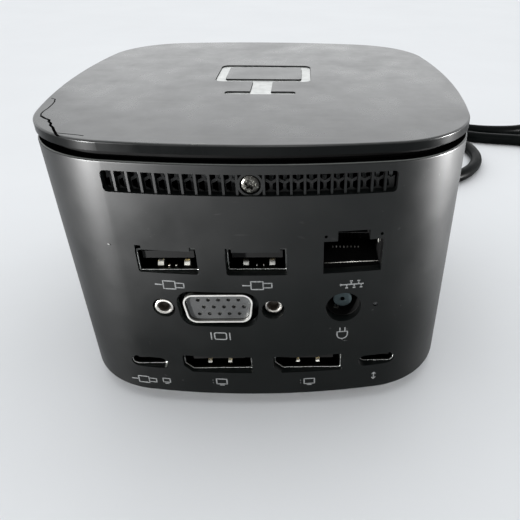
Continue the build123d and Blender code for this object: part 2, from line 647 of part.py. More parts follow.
# ---- Power button with its light ring, plunger and switch ----
ring_blank = button_place * (rod(ring_radius, cut_length, cut_start) - rod(button_radius + button_gap, cut_length,
                                                                         cut_start))
button_ring = ring_blank & (slab(shell_bottom, shell_top, 0.1) - slab(shell_bottom, shell_top, wall))
save("button_ring", button_ring)
button_inner = reach(Axis.Y, abs(button_x) + ring_radius, wall) - 0.2
cap_back = depth / 2 - button_inner
power_button = button_place * rod(button_radius, cap_back + 4, -4) & slab(shell_bottom, shell_top, -button_proud)
power_button += button_place * rod(button_radius + 1.1, button_flange, cap_back)
power_button += button_place * rod(stem_radius, stem_length, cap_back)
save("power_button", power_button)
plunger_start = cap_back + stem_length
save("button_plunger", button_place * rod(plunger_radius, plunger_length, plunger_start))
switch_start = plunger_start + plunger_length - plunger_engaged
switch_front = depth / 2 - switch_start
button_switch = box(button_x - switch_width / 2, button_x + switch_width / 2, switch_front - switch_depth,
                    switch_front, middle_board_top, button_z + switch_width / 2)
switch_bore = plunger_engaged + button_travel + 0.6
button_switch -= button_place * rod(plunger_radius + plunger_gap, switch_bore, switch_start)
save("button_switch", button_switch)

# ---- Cable: strain relief, tube and plug ----
relief_root = depth / 2 - reach(Axis.Y, abs(cable_x) + relief_block_width / 2, wall) + 0.25
relief_length = relief_end - depth / 2
cable_relief = Rot(-90, 0, 0) * Cone(relief_radius, relief_tip_radius, relief_length)
cable_relief = Pos(cable_x, depth / 2 + relief_length / 2, cable_z) * cable_relief
cable_relief += relief_place * rod(relief_radius, relief_root + 0.5)
cable_relief += box(cable_x - relief_block_width / 2, cable_x + relief_block_width / 2,
                    depth / 2 - relief_root - relief_block_depth, depth / 2 - relief_root,
                    lower_board_top, cable_z + relief_radius)
save("cable_relief", cable_relief)


def tangent_radii(route):
    """Radius of each corner: as large as the two runs beside it leave room for."""
    points = [Vector(*p) for p in route]
    radii = []
    for before, at, after in zip(points, points[1:], points[2:]):
        turn = (at - before).get_angle(after - at)
        shorter = min((at - before).length, (after - at).length)
        radii.append(0.45 * shorter / math.tan(math.radians(turn) / 2))
    return radii


radii = tangent_radii(cable_route)
cable_path = FilletPolyline(*cable_route, radius=radii)
cable_section = Plane(origin=cable_path @ 0, z_dir=cable_path % 0) * Circle(cable_diameter / 2)
host_cable = sweep(cable_section, path=cable_path)
save("host_cable", host_cable)
print("cable radii", [round(r, 1) for r in radii])
print("cable length", round(cable_path.length, 1), "volume ratio",
      round(host_cable.volume / (cable_path.length * math.pi * cable_diameter ** 2 / 4), 4))

plug_start = Vector(*cable_route[-1])
plug_along = (plug_start - Vector(*cable_route[-2])).normalized()
plug_turn = math.degrees(math.atan2(plug_along.Y, plug_along.X)) - 90
plug_place = Pos(plug_start.X, plug_start.Y, plug_thickness / 2 + 0.05) * Rot(0, 0, plug_turn)
plug_body = prism(RectangleRounded(plug_width, plug_thickness, 2.4), plug_length)
plug_body = chamfer(plug_body.edges().group_by(Axis.Y)[-1], 0.5)
save("plug_body", plug_place * plug_body)
plug_tip = prism(RectangleRounded(plug_tip_width, plug_tip_thickness, plug_tip_thickness / 2 - 0.01),
                 plug_tip_length, plug_length)
plug_tip_wall = 0.3
inner_tip = RectangleRounded(plug_tip_width - 2 * plug_tip_wall, plug_tip_thickness - 2 * plug_tip_wall,
                             plug_tip_thickness / 2 - plug_tip_wall - 0.01)
save("plug_tip", plug_place * (plug_tip - prism(inner_tip, plug_tip_length - 1, plug_length + 1)))
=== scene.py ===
import math

import bpy
from bpy.props import FloatProperty, FloatVectorProperty, PointerProperty
from bpy.types import Operator, Panel, PropertyGroup
from mathutils import Matrix, Vector


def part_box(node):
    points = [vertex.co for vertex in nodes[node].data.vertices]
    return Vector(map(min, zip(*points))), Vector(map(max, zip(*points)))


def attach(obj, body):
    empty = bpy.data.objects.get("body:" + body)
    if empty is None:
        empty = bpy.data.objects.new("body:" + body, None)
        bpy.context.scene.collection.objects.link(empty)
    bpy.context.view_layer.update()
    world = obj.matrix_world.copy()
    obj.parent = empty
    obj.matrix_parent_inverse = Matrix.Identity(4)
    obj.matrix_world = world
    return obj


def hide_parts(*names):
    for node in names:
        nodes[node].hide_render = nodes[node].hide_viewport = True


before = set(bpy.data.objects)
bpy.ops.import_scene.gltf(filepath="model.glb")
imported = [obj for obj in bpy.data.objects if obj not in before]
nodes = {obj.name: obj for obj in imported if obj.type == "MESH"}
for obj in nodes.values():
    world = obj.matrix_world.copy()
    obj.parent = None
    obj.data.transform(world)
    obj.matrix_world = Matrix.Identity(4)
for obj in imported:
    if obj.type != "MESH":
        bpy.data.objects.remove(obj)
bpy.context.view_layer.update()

bl_info = {
    "name": "Docking Station Looks",
    "version": (1, 0, 0),
    "blender": (4, 5, 0),
    "location": "View3D > Sidebar > Dock",
    "description": "Finishes, socket details, printed signs and the cable of a laptop docking station",
    "category": "Object",
}

MM = 0.001

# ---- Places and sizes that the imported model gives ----
lid_low, lid_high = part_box("top_lid")
shell_low, shell_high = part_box("outer_shell")
width = lid_high.x - lid_low.x
depth = lid_high.y - lid_low.y
SIDE_BOW = 5.5 * MM           # how far the middle of a side stands out from the line between its corners


def side_radius(span):
    """Radius of a bowed side, from the distance between its corners."""
    half = span / 2 - SIDE_BOW
    return (half ** 2 + SIDE_BOW ** 2) / (2 * SIDE_BOW)


def reach(across, size, span):
    """How far a bowed side stands from the middle of the dock, at a place across it."""
    radius = side_radius(span)
    return size / 2 - radius + math.sqrt(radius ** 2 - across ** 2)


def face_y(x):
    """Where the socket face stands at x."""
    return -reach(x, depth, width)


def middle_of(node):
    low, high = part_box(node)
    return (low + high) / 2


# ---- Settings that a user would change ----
class DockColours(PropertyGroup):
    """Colours of the dock's larger parts."""
    shell: FloatVectorProperty(
        name="Shell", description="Moulded plastic of the shell", subtype="COLOR", size=3, min=0.0, max=1.0,
        default=(0.0055, 0.0068, 0.0066))
    lid: FloatVectorProperty(
        name="Lid", description="Smooth plastic of the lid", subtype="COLOR", size=3, min=0.0, max=1.0,
        default=(0.016, 0.0175, 0.017))
    emblem: FloatVectorProperty(
        name="Emblem", description="Satin metal inlaid in the lid", subtype="COLOR", size=3, min=0.0, max=1.0,
        default=(0.50, 0.51, 0.50))
    cable: FloatVectorProperty(
        name="Cable", description="Jacket of the captive cable", subtype="COLOR", size=3, min=0.0, max=1.0,
        default=(0.0020, 0.0026, 0.0026))
    signs: FloatVectorProperty(
        name="Signs", description="Ink of the printed signs", subtype="COLOR", size=3, min=0.0, max=1.0,
        default=(0.30, 0.31, 0.31))
    floor: FloatVectorProperty(
        name="Floor", description="Pale sheet under the dock", subtype="COLOR", size=3, min=0.0, max=1.0,
        default=(0.76, 0.775, 0.79))


class DockSizes(PropertyGroup):
    """Sizes of the pieces that only this script makes."""
    sign_line: FloatProperty(
        name="Sign line", description="Width of a printed line", default=0.37 * MM, min=0.1 * MM, max=1 * MM,
        unit="LENGTH", precision=5)
    sign_height: FloatProperty(
        name="Ink height", description="How far the ink stands off the face", default=0.025 * MM,
        min=0.005 * MM, max=0.1 * MM, unit="LENGTH", precision=6)
    cable_diameter: FloatProperty(
        name="Cable diameter", description="Diameter of the cable's jacket", default=5.8 * MM, min=3 * MM,
        max=9 * MM, unit="LENGTH", precision=5)
    cable_length: FloatProperty(
        name="Cable length", description="Length of the cable between its strain relief and its plug",
        default=0.82, min=0.3, max=2.0, unit="LENGTH")
    lamp_power: FloatProperty(
        name="Lamp power", description="Power that each lamp has a share of", default=2.6, min=0.0, max=50.0,
        unit="POWER")
    sky: FloatProperty(
        name="Sky", description="Strength of the pale surroundings", default=1.20, min=0.0, max=3.0)


# ---- Handling of meshes ----
def only(piece):
    """Select one piece alone and make it the active one."""
    bpy.ops.object.select_all(action="DESELECT")
    piece.select_set(True)
    bpy.context.view_layer.objects.active = piece
    return piece


def settle(piece, place=None):
    """Put a piece in its place and move that place into its mesh."""
    only(piece)
    if place is not None:
        piece.matrix_world = place @ piece.matrix_world
    bpy.ops.object.transform_apply(location=True, rotation=True, scale=True)
    return piece


def outwards(piece):
    """Merge doubles and turn every face outwards."""
    only(piece)
    bpy.ops.object.mode_set(mode="EDIT")
    bpy.ops.mesh.select_all(action="SELECT")
    bpy.ops.mesh.remove_doubles(threshold=0.000001)
    bpy.ops.mesh.normals_make_consistent(inside=False)
    bpy.ops.object.mode_set(mode="OBJECT")
    return piece


def modify(piece, kind, **settings):
    """Add a modifier, set it and apply it."""
    only(piece)
    modifier = piece.modifiers.new(kind.title(), kind)
    for key, value in settings.items():
        setattr(modifier, key, value)
    bpy.ops.object.modifier_apply(modifier=modifier.name)
    return piece


def smooth(piece, degrees=35):
    only(piece)
    bpy.ops.object.shade_smooth_by_angle(angle=math.radians(degrees))
    return piece


def copy_of(piece, place):
    """Another piece of the same shape, with its own mesh, moved by a matrix."""
    twin = piece.copy()
    twin.data = piece.data.copy()
    bpy.context.scene.collection.objects.link(twin)
    return settle(twin, place)


def join(pieces):
    """Make one object of several."""
    bpy.ops.object.select_all(action="DESELECT")
    for piece in pieces:
        piece.select_set(True)
    bpy.context.view_layer.objects.active = pieces[0]
    if len(pieces) > 1:
        bpy.ops.object.join()
    return pieces[0]


def hand_over(piece, name, material, body="root", replaces=()):
    """Name a finished piece, give it its material and let it ride on its body."""
    piece.name = name
    piece.data.name = name
    piece.data.materials.clear()
    piece.data.materials.append(material)
    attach(piece, body)
    if replaces:
        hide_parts(*replaces)
    return piece


def block(low, high, edge=0.0, segments=2):
    """Box between two corners, with its edges rounded."""
    low, high = Vector(low), Vector(high)
    bpy.ops.object.select_all(action="DESELECT")
    bpy.ops.mesh.primitive_cube_add(size=1, location=(low + high) / 2, scale=high - low)
    piece = settle(bpy.context.object)
    if edge:
        modify(piece, "BEVEL", width=edge, segments=segments, limit_method="NONE")
    return smooth(piece)


def turned(stations, sides=40):
    """Round piece along +Z, drawn out from a disc through its stations of (distance, radius)."""
    bpy.ops.object.select_all(action="DESELECT")
    start, radius = stations[0]
    bpy.ops.mesh.primitive_circle_add(vertices=sides, radius=radius, fill_type="NGON", location=(0, 0, start))
    piece = settle(bpy.context.object)
    bpy.ops.object.mode_set(mode="EDIT")
    bpy.ops.mesh.select_all(action="SELECT")
    for distance, wide in stations[1:]:
        bpy.ops.mesh.extrude_region_move(TRANSFORM_OT_translate={"value": (0, 0, distance - start)})
        scale = wide / radius
        bpy.ops.transform.resize(value=(scale, scale, 1), center_override=(0, 0, distance))
        start, radius = distance, wide
    bpy.ops.object.mode_set(mode="OBJECT")
    return smooth(outwards(piece))


def strip(length, across, thickness, rise, steps=8):
    """Leaf spring along +Y that bows up along +Z between its ends."""
    bpy.ops.object.select_all(action="DESELECT")
    bpy.ops.mesh.primitive_grid_add(x_subdivisions=1, y_subdivisions=steps, size=1)
    piece = bpy.context.object
    piece.scale = (across, length, 1)
    settle(piece)
    for vertex in piece.data.vertices:
        vertex.co.z += rise * math.cos(math.pi * vertex.co.y / length)
    modify(piece, "SOLIDIFY", thickness=thickness, offset=0)
    return smooth(outwards(piece))


def along_y(x, y, z, backwards=False):
    """Place that lays a turned piece along +Y, or along -Y."""
    turn = Matrix.Rotation(math.radians(90 if backwards else -90), 4, "X")
    return Matrix.Translation((x, y, z)) @ turn


# ---- Handling of materials ----
class Surface:
    """A material in the making: its shader, its links and the object's own coordinates."""

    def __init__(self, name, roughness=0.5, metallic=0.0, specular=0.5):
        self.material = bpy.data.materials.new(name)
        self.material.use_nodes = True
        self.nodes = self.material.node_tree.nodes
        self.links = self.material.node_tree.links
        self.shader = next(n for n in self.nodes if n.type == "BSDF_PRINCIPLED")
        self.shader.inputs["Roughness"].default_value = roughness
        self.shader.inputs["Metallic"].default_value = metallic
        self.shader.inputs["Specular IOR Level"].default_value = specular
        self.coordinates = self.nodes.new("ShaderNodeTexCoord").outputs["Object"]

    def put(self, socket, value):
        self.links.new(value, self.shader.inputs[socket])
        return self

    def mapped(self, scale=(1, 1, 1), turn=(0, 0, 0), shift=(0, 0, 0)):
        """The object's coordinates, stretched, turned and moved."""
        node = self.nodes.new("ShaderNodeMapping")
        node.inputs["Scale"].default_value = scale
        node.inputs["Rotation"].default_value = turn
        node.inputs["Location"].default_value = shift
        self.links.new(self.coordinates, node.inputs["Vector"])
        return node.outputs["Vector"]

    def noise(self, size, detail=3.0, rough=0.55, vector=None):
        """Noise whose features are about as large as the size given."""
        node = self.nodes.new("ShaderNodeTexNoise")
        node.inputs["Scale"].default_value = 1 / size
        node.inputs["Detail"].default_value = detail
        node.inputs["Roughness"].default_value = rough
        self.links.new(vector or self.coordinates, node.inputs["Vector"])
        return node.outputs["Fac"]

    def spread(self, value, low, high, to_low=0.0, to_high=1.0):
        """A value taken from one range to another and held inside it."""
        node = self.nodes.new("ShaderNodeMapRange")
        for socket, number in zip(("From Min", "From Max", "To Min", "To Max"), (low, high, to_low, to_high)):
            node.inputs[socket].default_value = number
        self.links.new(value, node.inputs["Value"])
        return node.outputs["Result"]

    def product(self, first, second):
        node = self.nodes.new("ShaderNodeMath")
        node.operation = "MULTIPLY"
        self.links.new(first, node.inputs[0])
        self.links.new(second, node.inputs[1])
        return node.outputs["Value"]

    def height(self):
        """The z of a point, in metres."""
        node = self.nodes.new("ShaderNodeSeparateXYZ")
        self.links.new(self.coordinates, node.inputs["Vector"])
        return node.outputs["Z"]

    def mix(self, share, first, second):
        """One colour into another by a share; each is a colour or a socket."""
        node = self.nodes.new("ShaderNodeMix")
        node.data_type = "RGBA"
        self.links.new(share, node.inputs["Factor"])
        for socket, value in ((node.inputs[6], first), (node.inputs[7], second)):
            if isinstance(value, bpy.types.NodeSocket):
                self.links.new(value, socket)
            else:
                socket.default_value = (*value, 1.0)
        return node.outputs[2]

    def bump(self, height, distance, strength=1.0):
        node = self.nodes.new("ShaderNodeBump")
        node.inputs["Distance"].default_value = distance
        node.inputs["Strength"].default_value = strength
        previous = self.shader.inputs["Normal"]
        if previous.is_linked:
            self.links.new(previous.links[0].from_socket, node.inputs["Normal"])
        self.links.new(height, node.inputs["Height"])
        self.links.new(node.outputs["Normal"], previous)
        return self


def shade(colour, share):
    return tuple(min(1.0, part * share) for part in colour)


def moulded(name, colour, roughness=0.5, grain=0.25 * MM, relief=0.010 * MM, specular=0.5, play=0.25):
    """Moulded plastic or rubber: a fine grain, with colour and gloss that vary a little over the part."""
    surface = Surface(name, roughness, specular=specular)
    blotch = surface.noise(14 * MM, 4)
    fine = surface.noise(grain, 2)
    tone = surface.mix(blotch, shade(colour, 1 - play), shade(colour, 1 + play))
    surface.put("Base Color", surface.mix(surface.spread(fine, 0.45, 0.75, 0, 0.5), tone, shade(colour, 1.8)))
    wear = surface.noise(5 * MM, 3)
    surface.put("Roughness", surface.spread(wear, 0.3, 0.7, roughness - 0.05, roughness + 0.07))
    surface.bump(fine, relief)
    return surface.material


def metal(name, colour, roughness=0.3, tarnish=0.35, brushed=None):
    """Plated or plain metal, with smudges, a little tarnish and, if asked for, brush lines."""
    surface = Surface(name, roughness, metallic=1.0)
    smudge = surface.noise(1.6 * MM, 4)
    dull = surface.spread(smudge, 0.4, 0.75, 0, tarnish)
    surface.put("Base Color", surface.mix(dull, colour, shade(colour, 0.45)))
    surface.put("Roughness", surface.spread(smudge, 0.3, 0.7, roughness - 0.08, roughness + 0.12))
    if brushed:
        lines = surface.noise(0.12 * MM, 2, vector=surface.mapped(scale=brushed))
        surface.bump(lines, 0.004 * MM)
    else:
        surface.bump(surface.noise(0.3 * MM, 2), 0.003 * MM)
    return surface.material


def socket_metal(name, axis, mouth, inward, colour, bright_for=0.3 * MM):
    """Plating in its own colour on a socket's mouth, painted dark further in as painted shade."""
    surface = Surface(name, 0.28, metallic=1.0)
    split = surface.nodes.new("ShaderNodeSeparateXYZ")
    surface.links.new(surface.coordinates, split.inputs["Vector"])
    # Mask of the painted shade: 0 on the mouth, 1 further inside the socket.
    start = mouth + bright_for * inward
    inside = surface.spread(split.outputs[axis], start, start + 0.3 * MM * inward)
    smudge = surface.spread(surface.noise(1.3 * MM, 3), 0.4, 0.75, 0, 0.4)
    bright = surface.mix(smudge, colour, shade(colour, 0.5))
    surface.put("Base Color", surface.mix(inside, bright, (0.008, 0.009, 0.009)))
    surface.bump(surface.noise(0.3 * MM, 2), 0.004 * MM)
    return surface.material


def scratched(surface, colour, pale, turns, rarity, size):
    """A colour with fine pale scratches over it, in several directions."""
    long, thin = size
    for number, turn in enumerate(turns):
        lines = surface.mapped((thin / long, 1, 0.2), (0, 0, math.radians(turn)), (number, 0, 0))
        fine = surface.noise(thin, 1, vector=lines)
        patch = surface.spread(surface.noise(17 * MM, 1, vector=surface.mapped(shift=(0.1 * number, 0.3, 0))),
                               0.48, 0.62)
        mark = surface.product(surface.spread(fine, rarity, rarity + 0.05), patch)
        colour = surface.mix(mark, colour, pale)
    return colour


def shell_plastic(colour):
    """Fine satin plastic of the shell, with a little dust, a few faint rubs, a painted highlight along the top
    edge and painted shade on the top face under the lid.
    """
    surface = Surface("shell_plastic", 0.42, specular=0.14)
    blotch = surface.noise(22 * MM, 4)
    tone = surface.mix(blotch, shade(colour, 0.8), shade(colour, 1.2))
    dust = surface.spread(surface.noise(0.35 * MM, 2), 0.76, 0.82, 0, 0.25)
    tone = surface.mix(dust, tone, (0.06, 0.06, 0.058))
    height = surface.height()
    # Painted highlight: a thin pale band just under the shell's top edge.
    edge = surface.spread(height, shell_high.z - 0.20 * MM, shell_high.z - 0.12 * MM)
    # Painted shade: the shell's top face, in the gap under the lid, is painted near black and gets no specular.
    rim = surface.spread(height, shell_high.z - 0.06 * MM, shell_high.z - 0.03 * MM)
    tone = surface.mix(rim, surface.mix(edge, tone, (0.16, 0.17, 0.16)), (0.002, 0.002, 0.002))
    surface.put("Base Color", scratched(surface, tone, (0.03, 0.03, 0.03), (4, 74), 0.74, (30 * MM, 0.25 * MM)))
    gloss = surface.spread(height, 18 * MM, 56 * MM, 0.08, 0.19)
    surface.put("Specular IOR Level", surface.product(gloss, surface.spread(rim, 0, 1, 1, 0)))
    surface.put("Roughness", surface.spread(surface.noise(13 * MM, 3), 0.3, 0.7, 0.36, 0.46))
    surface.bump(surface.noise(0.18 * MM, 2), 0.005 * MM)
    return surface.material


def lid_plastic(colour):
    """Smooth lid: glossier than the shell, with wiping marks, dust and hairline scratches; its sides are
    painted dark with little specular, as painted shade.
    """
    surface = Surface("lid_plastic", 0.30, specular=0.60)
    haze = surface.noise(28 * MM, 5, 0.6)
    tone = surface.mix(haze, shade(colour, 0.82), shade(colour, 1.25))
    dust = surface.spread(surface.noise(0.5 * MM, 2), 0.72, 0.80, 0, 0.5)
    tone = surface.mix(dust, tone, (0.12, 0.12, 0.115))
    tone = scratched(surface, tone, (0.07, 0.07, 0.068), (12, 50, -35), 0.70, (70 * MM, 0.3 * MM))
    # Painted shade: below the lid's top the colour goes near black and the specular nearly vanishes.
    top_clear_of_painted_shade = surface.spread(surface.height(), lid_high.z - 0.40 * MM, lid_high.z - 0.05 * MM)
    surface.put("Base Color", surface.mix(top_clear_of_painted_shade, (0.007, 0.008, 0.008), tone))
    surface.put("Roughness", surface.spread(surface.noise(12 * MM, 5, 0.65), 0.3, 0.7, 0.24, 0.36))
    surface.put("Specular IOR Level", surface.spread(top_clear_of_painted_shade, 0, 1, 0.04, 0.66))
    surface.bump(surface.noise(0.25 * MM, 2), 0.002 * MM)
    surface.bump(surface.noise(30 * MM, 2), 0.03 * MM, 0.5)
    return surface.material


def jacket_rubber(colour):
    """Cable jacket: smooth and slightly waxy, with faint flats from being coiled."""
    surface = Surface("jacket_rubber", 0.45, specular=0.03)
    bloom = surface.noise(7 * MM, 4)
    surface.put("Base Color", surface.mix(surface.spread(bloom, 0.35, 0.8), colour, shade(colour, 2.2)))
    surface.put("Roughness", surface.spread(bloom, 0.3, 0.7, 0.30, 0.46))
    surface.bump(surface.noise(0.35 * MM, 3), 0.012 * MM)
    surface.bump(surface.noise(9 * MM, 2), 0.12 * MM, 0.6)
    return surface.material


def solder_mask():
    """Green board with paler tracks in a square maze."""
    surface = Surface("solder_mask", 0.3, specular=0.5)
    tracks = surface.nodes.new("ShaderNodeTexBrick")
    tracks.inputs["Scale"].default_value = 1 / (3.2 * MM)
    tracks.inputs["Mortar Size"].default_value = 0.06
    surface.links.new(surface.mapped(turn=(0, 0, math.radians(45))), tracks.inputs["Vector"])
    tone = surface.mix(surface.spread(tracks.outputs["Fac"], 0, 1), (0.008, 0.075, 0.028), (0.02, 0.16, 0.06))
    surface.put("Base Color", surface.mix(surface.noise(9 * MM, 3), tone, (0.006, 0.06, 0.024)))
    surface.bump(tracks.outputs["Fac"], 0.02 * MM)
    return surface.material


def clear_plastic(name, colour):
    """Pale plastic that carries the light of a lamp behind it."""
    surface = Surface(name, 0.25, specular=0.5)
    cloud = surface.noise(2 * MM, 3)
    surface.put("Base Color", surface.mix(cloud, shade(colour, 0.8), colour))
    surface.shader.inputs["Subsurface Weight"].default_value = 0.4
    surface.shader.inputs["Subsurface Radius"].default_value = (0.5 * MM,) * 3
    surface.bump(surface.noise(0.4 * MM, 2), 0.004 * MM)
    return surface.material


def ink(colour):
    """Printed ink, a little worn."""
    surface = Surface("sign_ink", 0.6, specular=0.3)
    worn = surface.spread(surface.noise(0.3 * MM, 3), 0.45, 0.62)
    surface.put("Base Color", surface.mix(worn, colour, shade(colour, 0.62)))
    surface.bump(surface.noise(0.1 * MM, 2), 0.004 * MM)
    return surface.material


def worn_screw():
    """Black oxide on a screw, rubbed bright on the high spots of its drive."""
    surface = Surface("worn_screw", 0.35, metallic=1.0)
    rubbed = surface.spread(surface.noise(0.42 * MM, 4, 0.7), 0.56, 0.66)
    surface.put("Base Color", surface.mix(rubbed, (0.040, 0.039, 0.036), (0.30, 0.31, 0.27)))
    surface.put("Roughness", surface.spread(surface.noise(0.5 * MM, 3), 0.3, 0.7, 0.25, 0.5))
    surface.bump(surface.noise(0.35 * MM, 3), 0.05 * MM)
    return surface.material


def floor_paper(colour):
    """Pale sheet with a very faint unevenness."""
    surface = Surface("floor_paper", 0.9, specular=0.0)
    wave = surface.noise(0.11, 4, 0.6)
    surface.put("Base Color", surface.mix(wave, shade(colour, 0.95), shade(colour, 1.03)))
    surface.bump(surface.noise(0.05, 2), 0.10 * MM)
    return surface.material


# ---- Stage: camera, lamps and floor ----
CAMERA_PLACE = (0.01040, -0.14510, 0.10522)
CAMERA_YAW, CAMERA_PITCH, CAMERA_ROLL = 2.212, 33.644, 0.989      # degrees: towards +X, down, leaning
CAMERA_LENS = 36.4
CAMERA_SHIFT = (-0.1161, 0.0201)


class DOCK_OT_stage(Operator):
    """Camera, soft lamps, pale surroundings and the floor"""
    bl_idname = "dock.stage"
    bl_label = "Stage"

    def execute(self, context):
        sizes, colours = context.scene.dock_sizes, context.scene.dock_colours
        yaw, pitch, roll = (math.radians(a) for a in (CAMERA_YAW, CAMERA_PITCH, CAMERA_ROLL))
        bpy.ops.object.select_all(action="DESELECT")
        bpy.ops.object.camera_add(location=CAMERA_PLACE)
        camera = bpy.context.object
        camera.name = "camera"
        ahead = Vector((math.sin(yaw) * math.cos(pitch), math.cos(yaw) * math.cos(pitch), -math.sin(pitch)))
        level = Vector((math.cos(yaw), -math.sin(yaw), 0))
        above = level.cross(ahead)
        right = level * math.cos(roll) + above * math.sin(roll)
        up = above * math.cos(roll) - level * math.sin(roll)
        turn = Matrix((right, up, -ahead)).transposed().to_4x4()
        camera.matrix_world = Matrix.Translation(CAMERA_PLACE) @ turn
        camera.data.sensor_width = 36
        camera.data.lens = CAMERA_LENS
        camera.data.shift_x, camera.data.shift_y = CAMERA_SHIFT
        camera.data.clip_start, camera.data.clip_end = 0.002, 50
        context.scene.camera = camera

        power = sizes.lamp_power
        lamps = (("lamp_back", (0.10, 1.90, 1.25), 2.4, 3.3 * power),
                 ("lamp_over", (-0.30, 0.10, 1.0), 0.9, 0.22 * power),
                 ("lamp_left", (-0.36, -0.31, 0.015), 0.025, 5.6 * power),
                 ("lamp_right", (0.45, -0.04, 0.015), 0.025, 4.4 * power),
                 ("lamp_front", (0.05, -0.75, 0.62), 0.22, 0.45 * power),
                 ("lamp_low", (-0.014, -0.152, 0.006), 0.05, 0.008 * power))
        for name, place, size, power in lamps:
            bpy.ops.object.light_add(type="AREA", location=place)
            lamp = bpy.context.object
            lamp.name = name
            lamp.data.size = size
            lamp.data.energy = power
            lamp.visible_diffuse = name not in ("lamp_left", "lamp_right")      # those two only give highlights
            lamp.rotation_euler = (Vector((0, 0, 0.04)) - Vector(place)).to_track_quat("-Z", "Y").to_euler()

        world = bpy.data.worlds.new("surroundings")
        context.scene.world = world
        world.use_nodes = True
        tree = world.node_tree
        background = tree.nodes["Background"]
        background.inputs["Strength"].default_value = sizes.sky
        direction = tree.nodes.new("ShaderNodeTexCoord").outputs["Generated"]
        split = tree.nodes.new("ShaderNodeSeparateXYZ")
        tree.links.new(direction, split.inputs["Vector"])
        share = tree.nodes.new("ShaderNodeMapRange")
        share.inputs["From Min"].default_value, share.inputs["From Max"].default_value = -0.75, 0.10
        tree.links.new(split.outputs["Y"], share.inputs["Value"])
        blend = tree.nodes.new("ShaderNodeMix")
        blend.data_type = "RGBA"
        blend.inputs[6].default_value = (0.34, 0.34, 0.34, 1)        # behind the camera
        blend.inputs[7].default_value = (0.97, 0.985, 1.0, 1)        # behind the dock
        tree.links.new(share.outputs["Result"], blend.inputs["Factor"])
        tree.links.new(blend.outputs[2], background.inputs["Color"])
        context.scene.view_settings.view_transform = "Standard"

        bpy.ops.object.select_all(action="DESELECT")
        bpy.ops.mesh.primitive_grid_add(x_subdivisions=24, y_subdivisions=24, size=8)
        floor = settle(bpy.context.object)
        floor.name = "floor"
        floor.data.materials.append(floor_paper(colours.floor))
        return {"FINISHED"}


# ---- Cable ----
LYING = 2.95 * MM
CABLE_ROUTE = [
    (0.012, 0.071, 0.0165), (0.012, 0.0855, 0.0165), (0.0125, 0.104, 0.011), (0.014, 0.122, 0.005),
    (0.020, 0.139, LYING), (0.033, 0.154, LYING), (0.051, 0.1645, LYING), (0.070, 0.166, LYING),
    (0.088, 0.158, LYING), (0.107, 0.1453, LYING), (0.137, 0.141, LYING), (0.152, 0.132, LYING),
    (0.1692, 0.119, LYING), (0.1948, 0.1195, LYING), (0.213, 0.1372, LYING), (0.213, 0.1628, LYING),
    (0.1948, 0.181, LYING), (0.1692, 0.181, LYING), (0.153, 0.167, LYING), (0.137, 0.157, LYING),
    (0.112, 0.1573, LYING), (0.091, 0.169, LYING), (0.069, 0.177, LYING), (0.045, 0.177, LYING),
    (0.022, 0.169, LYING), (0.005, 0.155, LYING), (-0.006, 0.135, LYING), (-0.008, 0.112, LYING),
    (0.000, 0.093, LYING), (0.018, 0.0825, LYING), (0.040, 0.0795, LYING), (0.0625, 0.081, LYING),
    (0.0866, 0.0888, LYING), (0.1015, 0.1093, LYING), (0.1012, 0.1321, LYING), (0.0894, 0.1484, LYING),
    (0.0702, 0.1546, LYING), (0.0513, 0.1486, LYING), (0.040, 0.133, LYING),
]


def cable_jacket(diameter):
    """The jacket: one smooth line through the route, with a round section."""
    curve = bpy.data.curves.new("cable_jacket", "CURVE")
    curve.dimensions = "3D"
    line = curve.splines.new("NURBS")
    line.points.add(len(CABLE_ROUTE) - 1)
    for point, place in zip(line.points, CABLE_ROUTE):
        point.co = (*place, 1)
    line.order_u = 3
    line.use_endpoint_u = True
    line.resolution_u = 10
    curve.bevel_depth = diameter / 2
    curve.bevel_resolution = 5
    curve.use_fill_caps = True
    jacket = bpy.data.objects.new("cable_jacket", curve)
    bpy.context.scene.collection.objects.link(jacket)
    return jacket


def strain_relief():
    """Tapered, ribbed sleeve where the cable leaves the shell, with its anchor behind the wall."""
    low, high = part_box("cable_relief")
    start_x, end_y, level = CABLE_ROUTE[0]
    face = depth / 2
    root, tip = 4.4 * MM, 3.4 * MM
    groove, rings, bare = 0.75 * MM, 7, 2.4 * MM

    def taper(y):
        return root + (tip - root) * max(0.0, (y - face) / (end_y - face))

    stations = [(low.y + 4 * MM, root), (face + bare, taper(face + bare))]
    pitch = (end_y - face - bare) / rings
    for ring in range(rings):
        y = face + bare + ring * pitch
        stations += [(y + 0.04 * pitch, taper(y) - groove), (y + 0.36 * pitch, taper(y) - groove),
                     (y + 0.42 * pitch, taper(y) - 0.15 * MM), (y + 0.50 * pitch, taper(y)),
                     (y + 0.90 * pitch, taper(y + 0.9 * pitch)), (y + pitch, taper(y + pitch) - 0.12 * MM)]
    sleeve = turned([(y - low.y, radius) for y, radius in stations])
    settle(sleeve, along_y(start_x, low.y, level))
    anchor = block((low.x, low.y, low.z), (high.x, low.y + 5 * MM, high.z), 0.4 * MM)
    return join([sleeve, anchor])


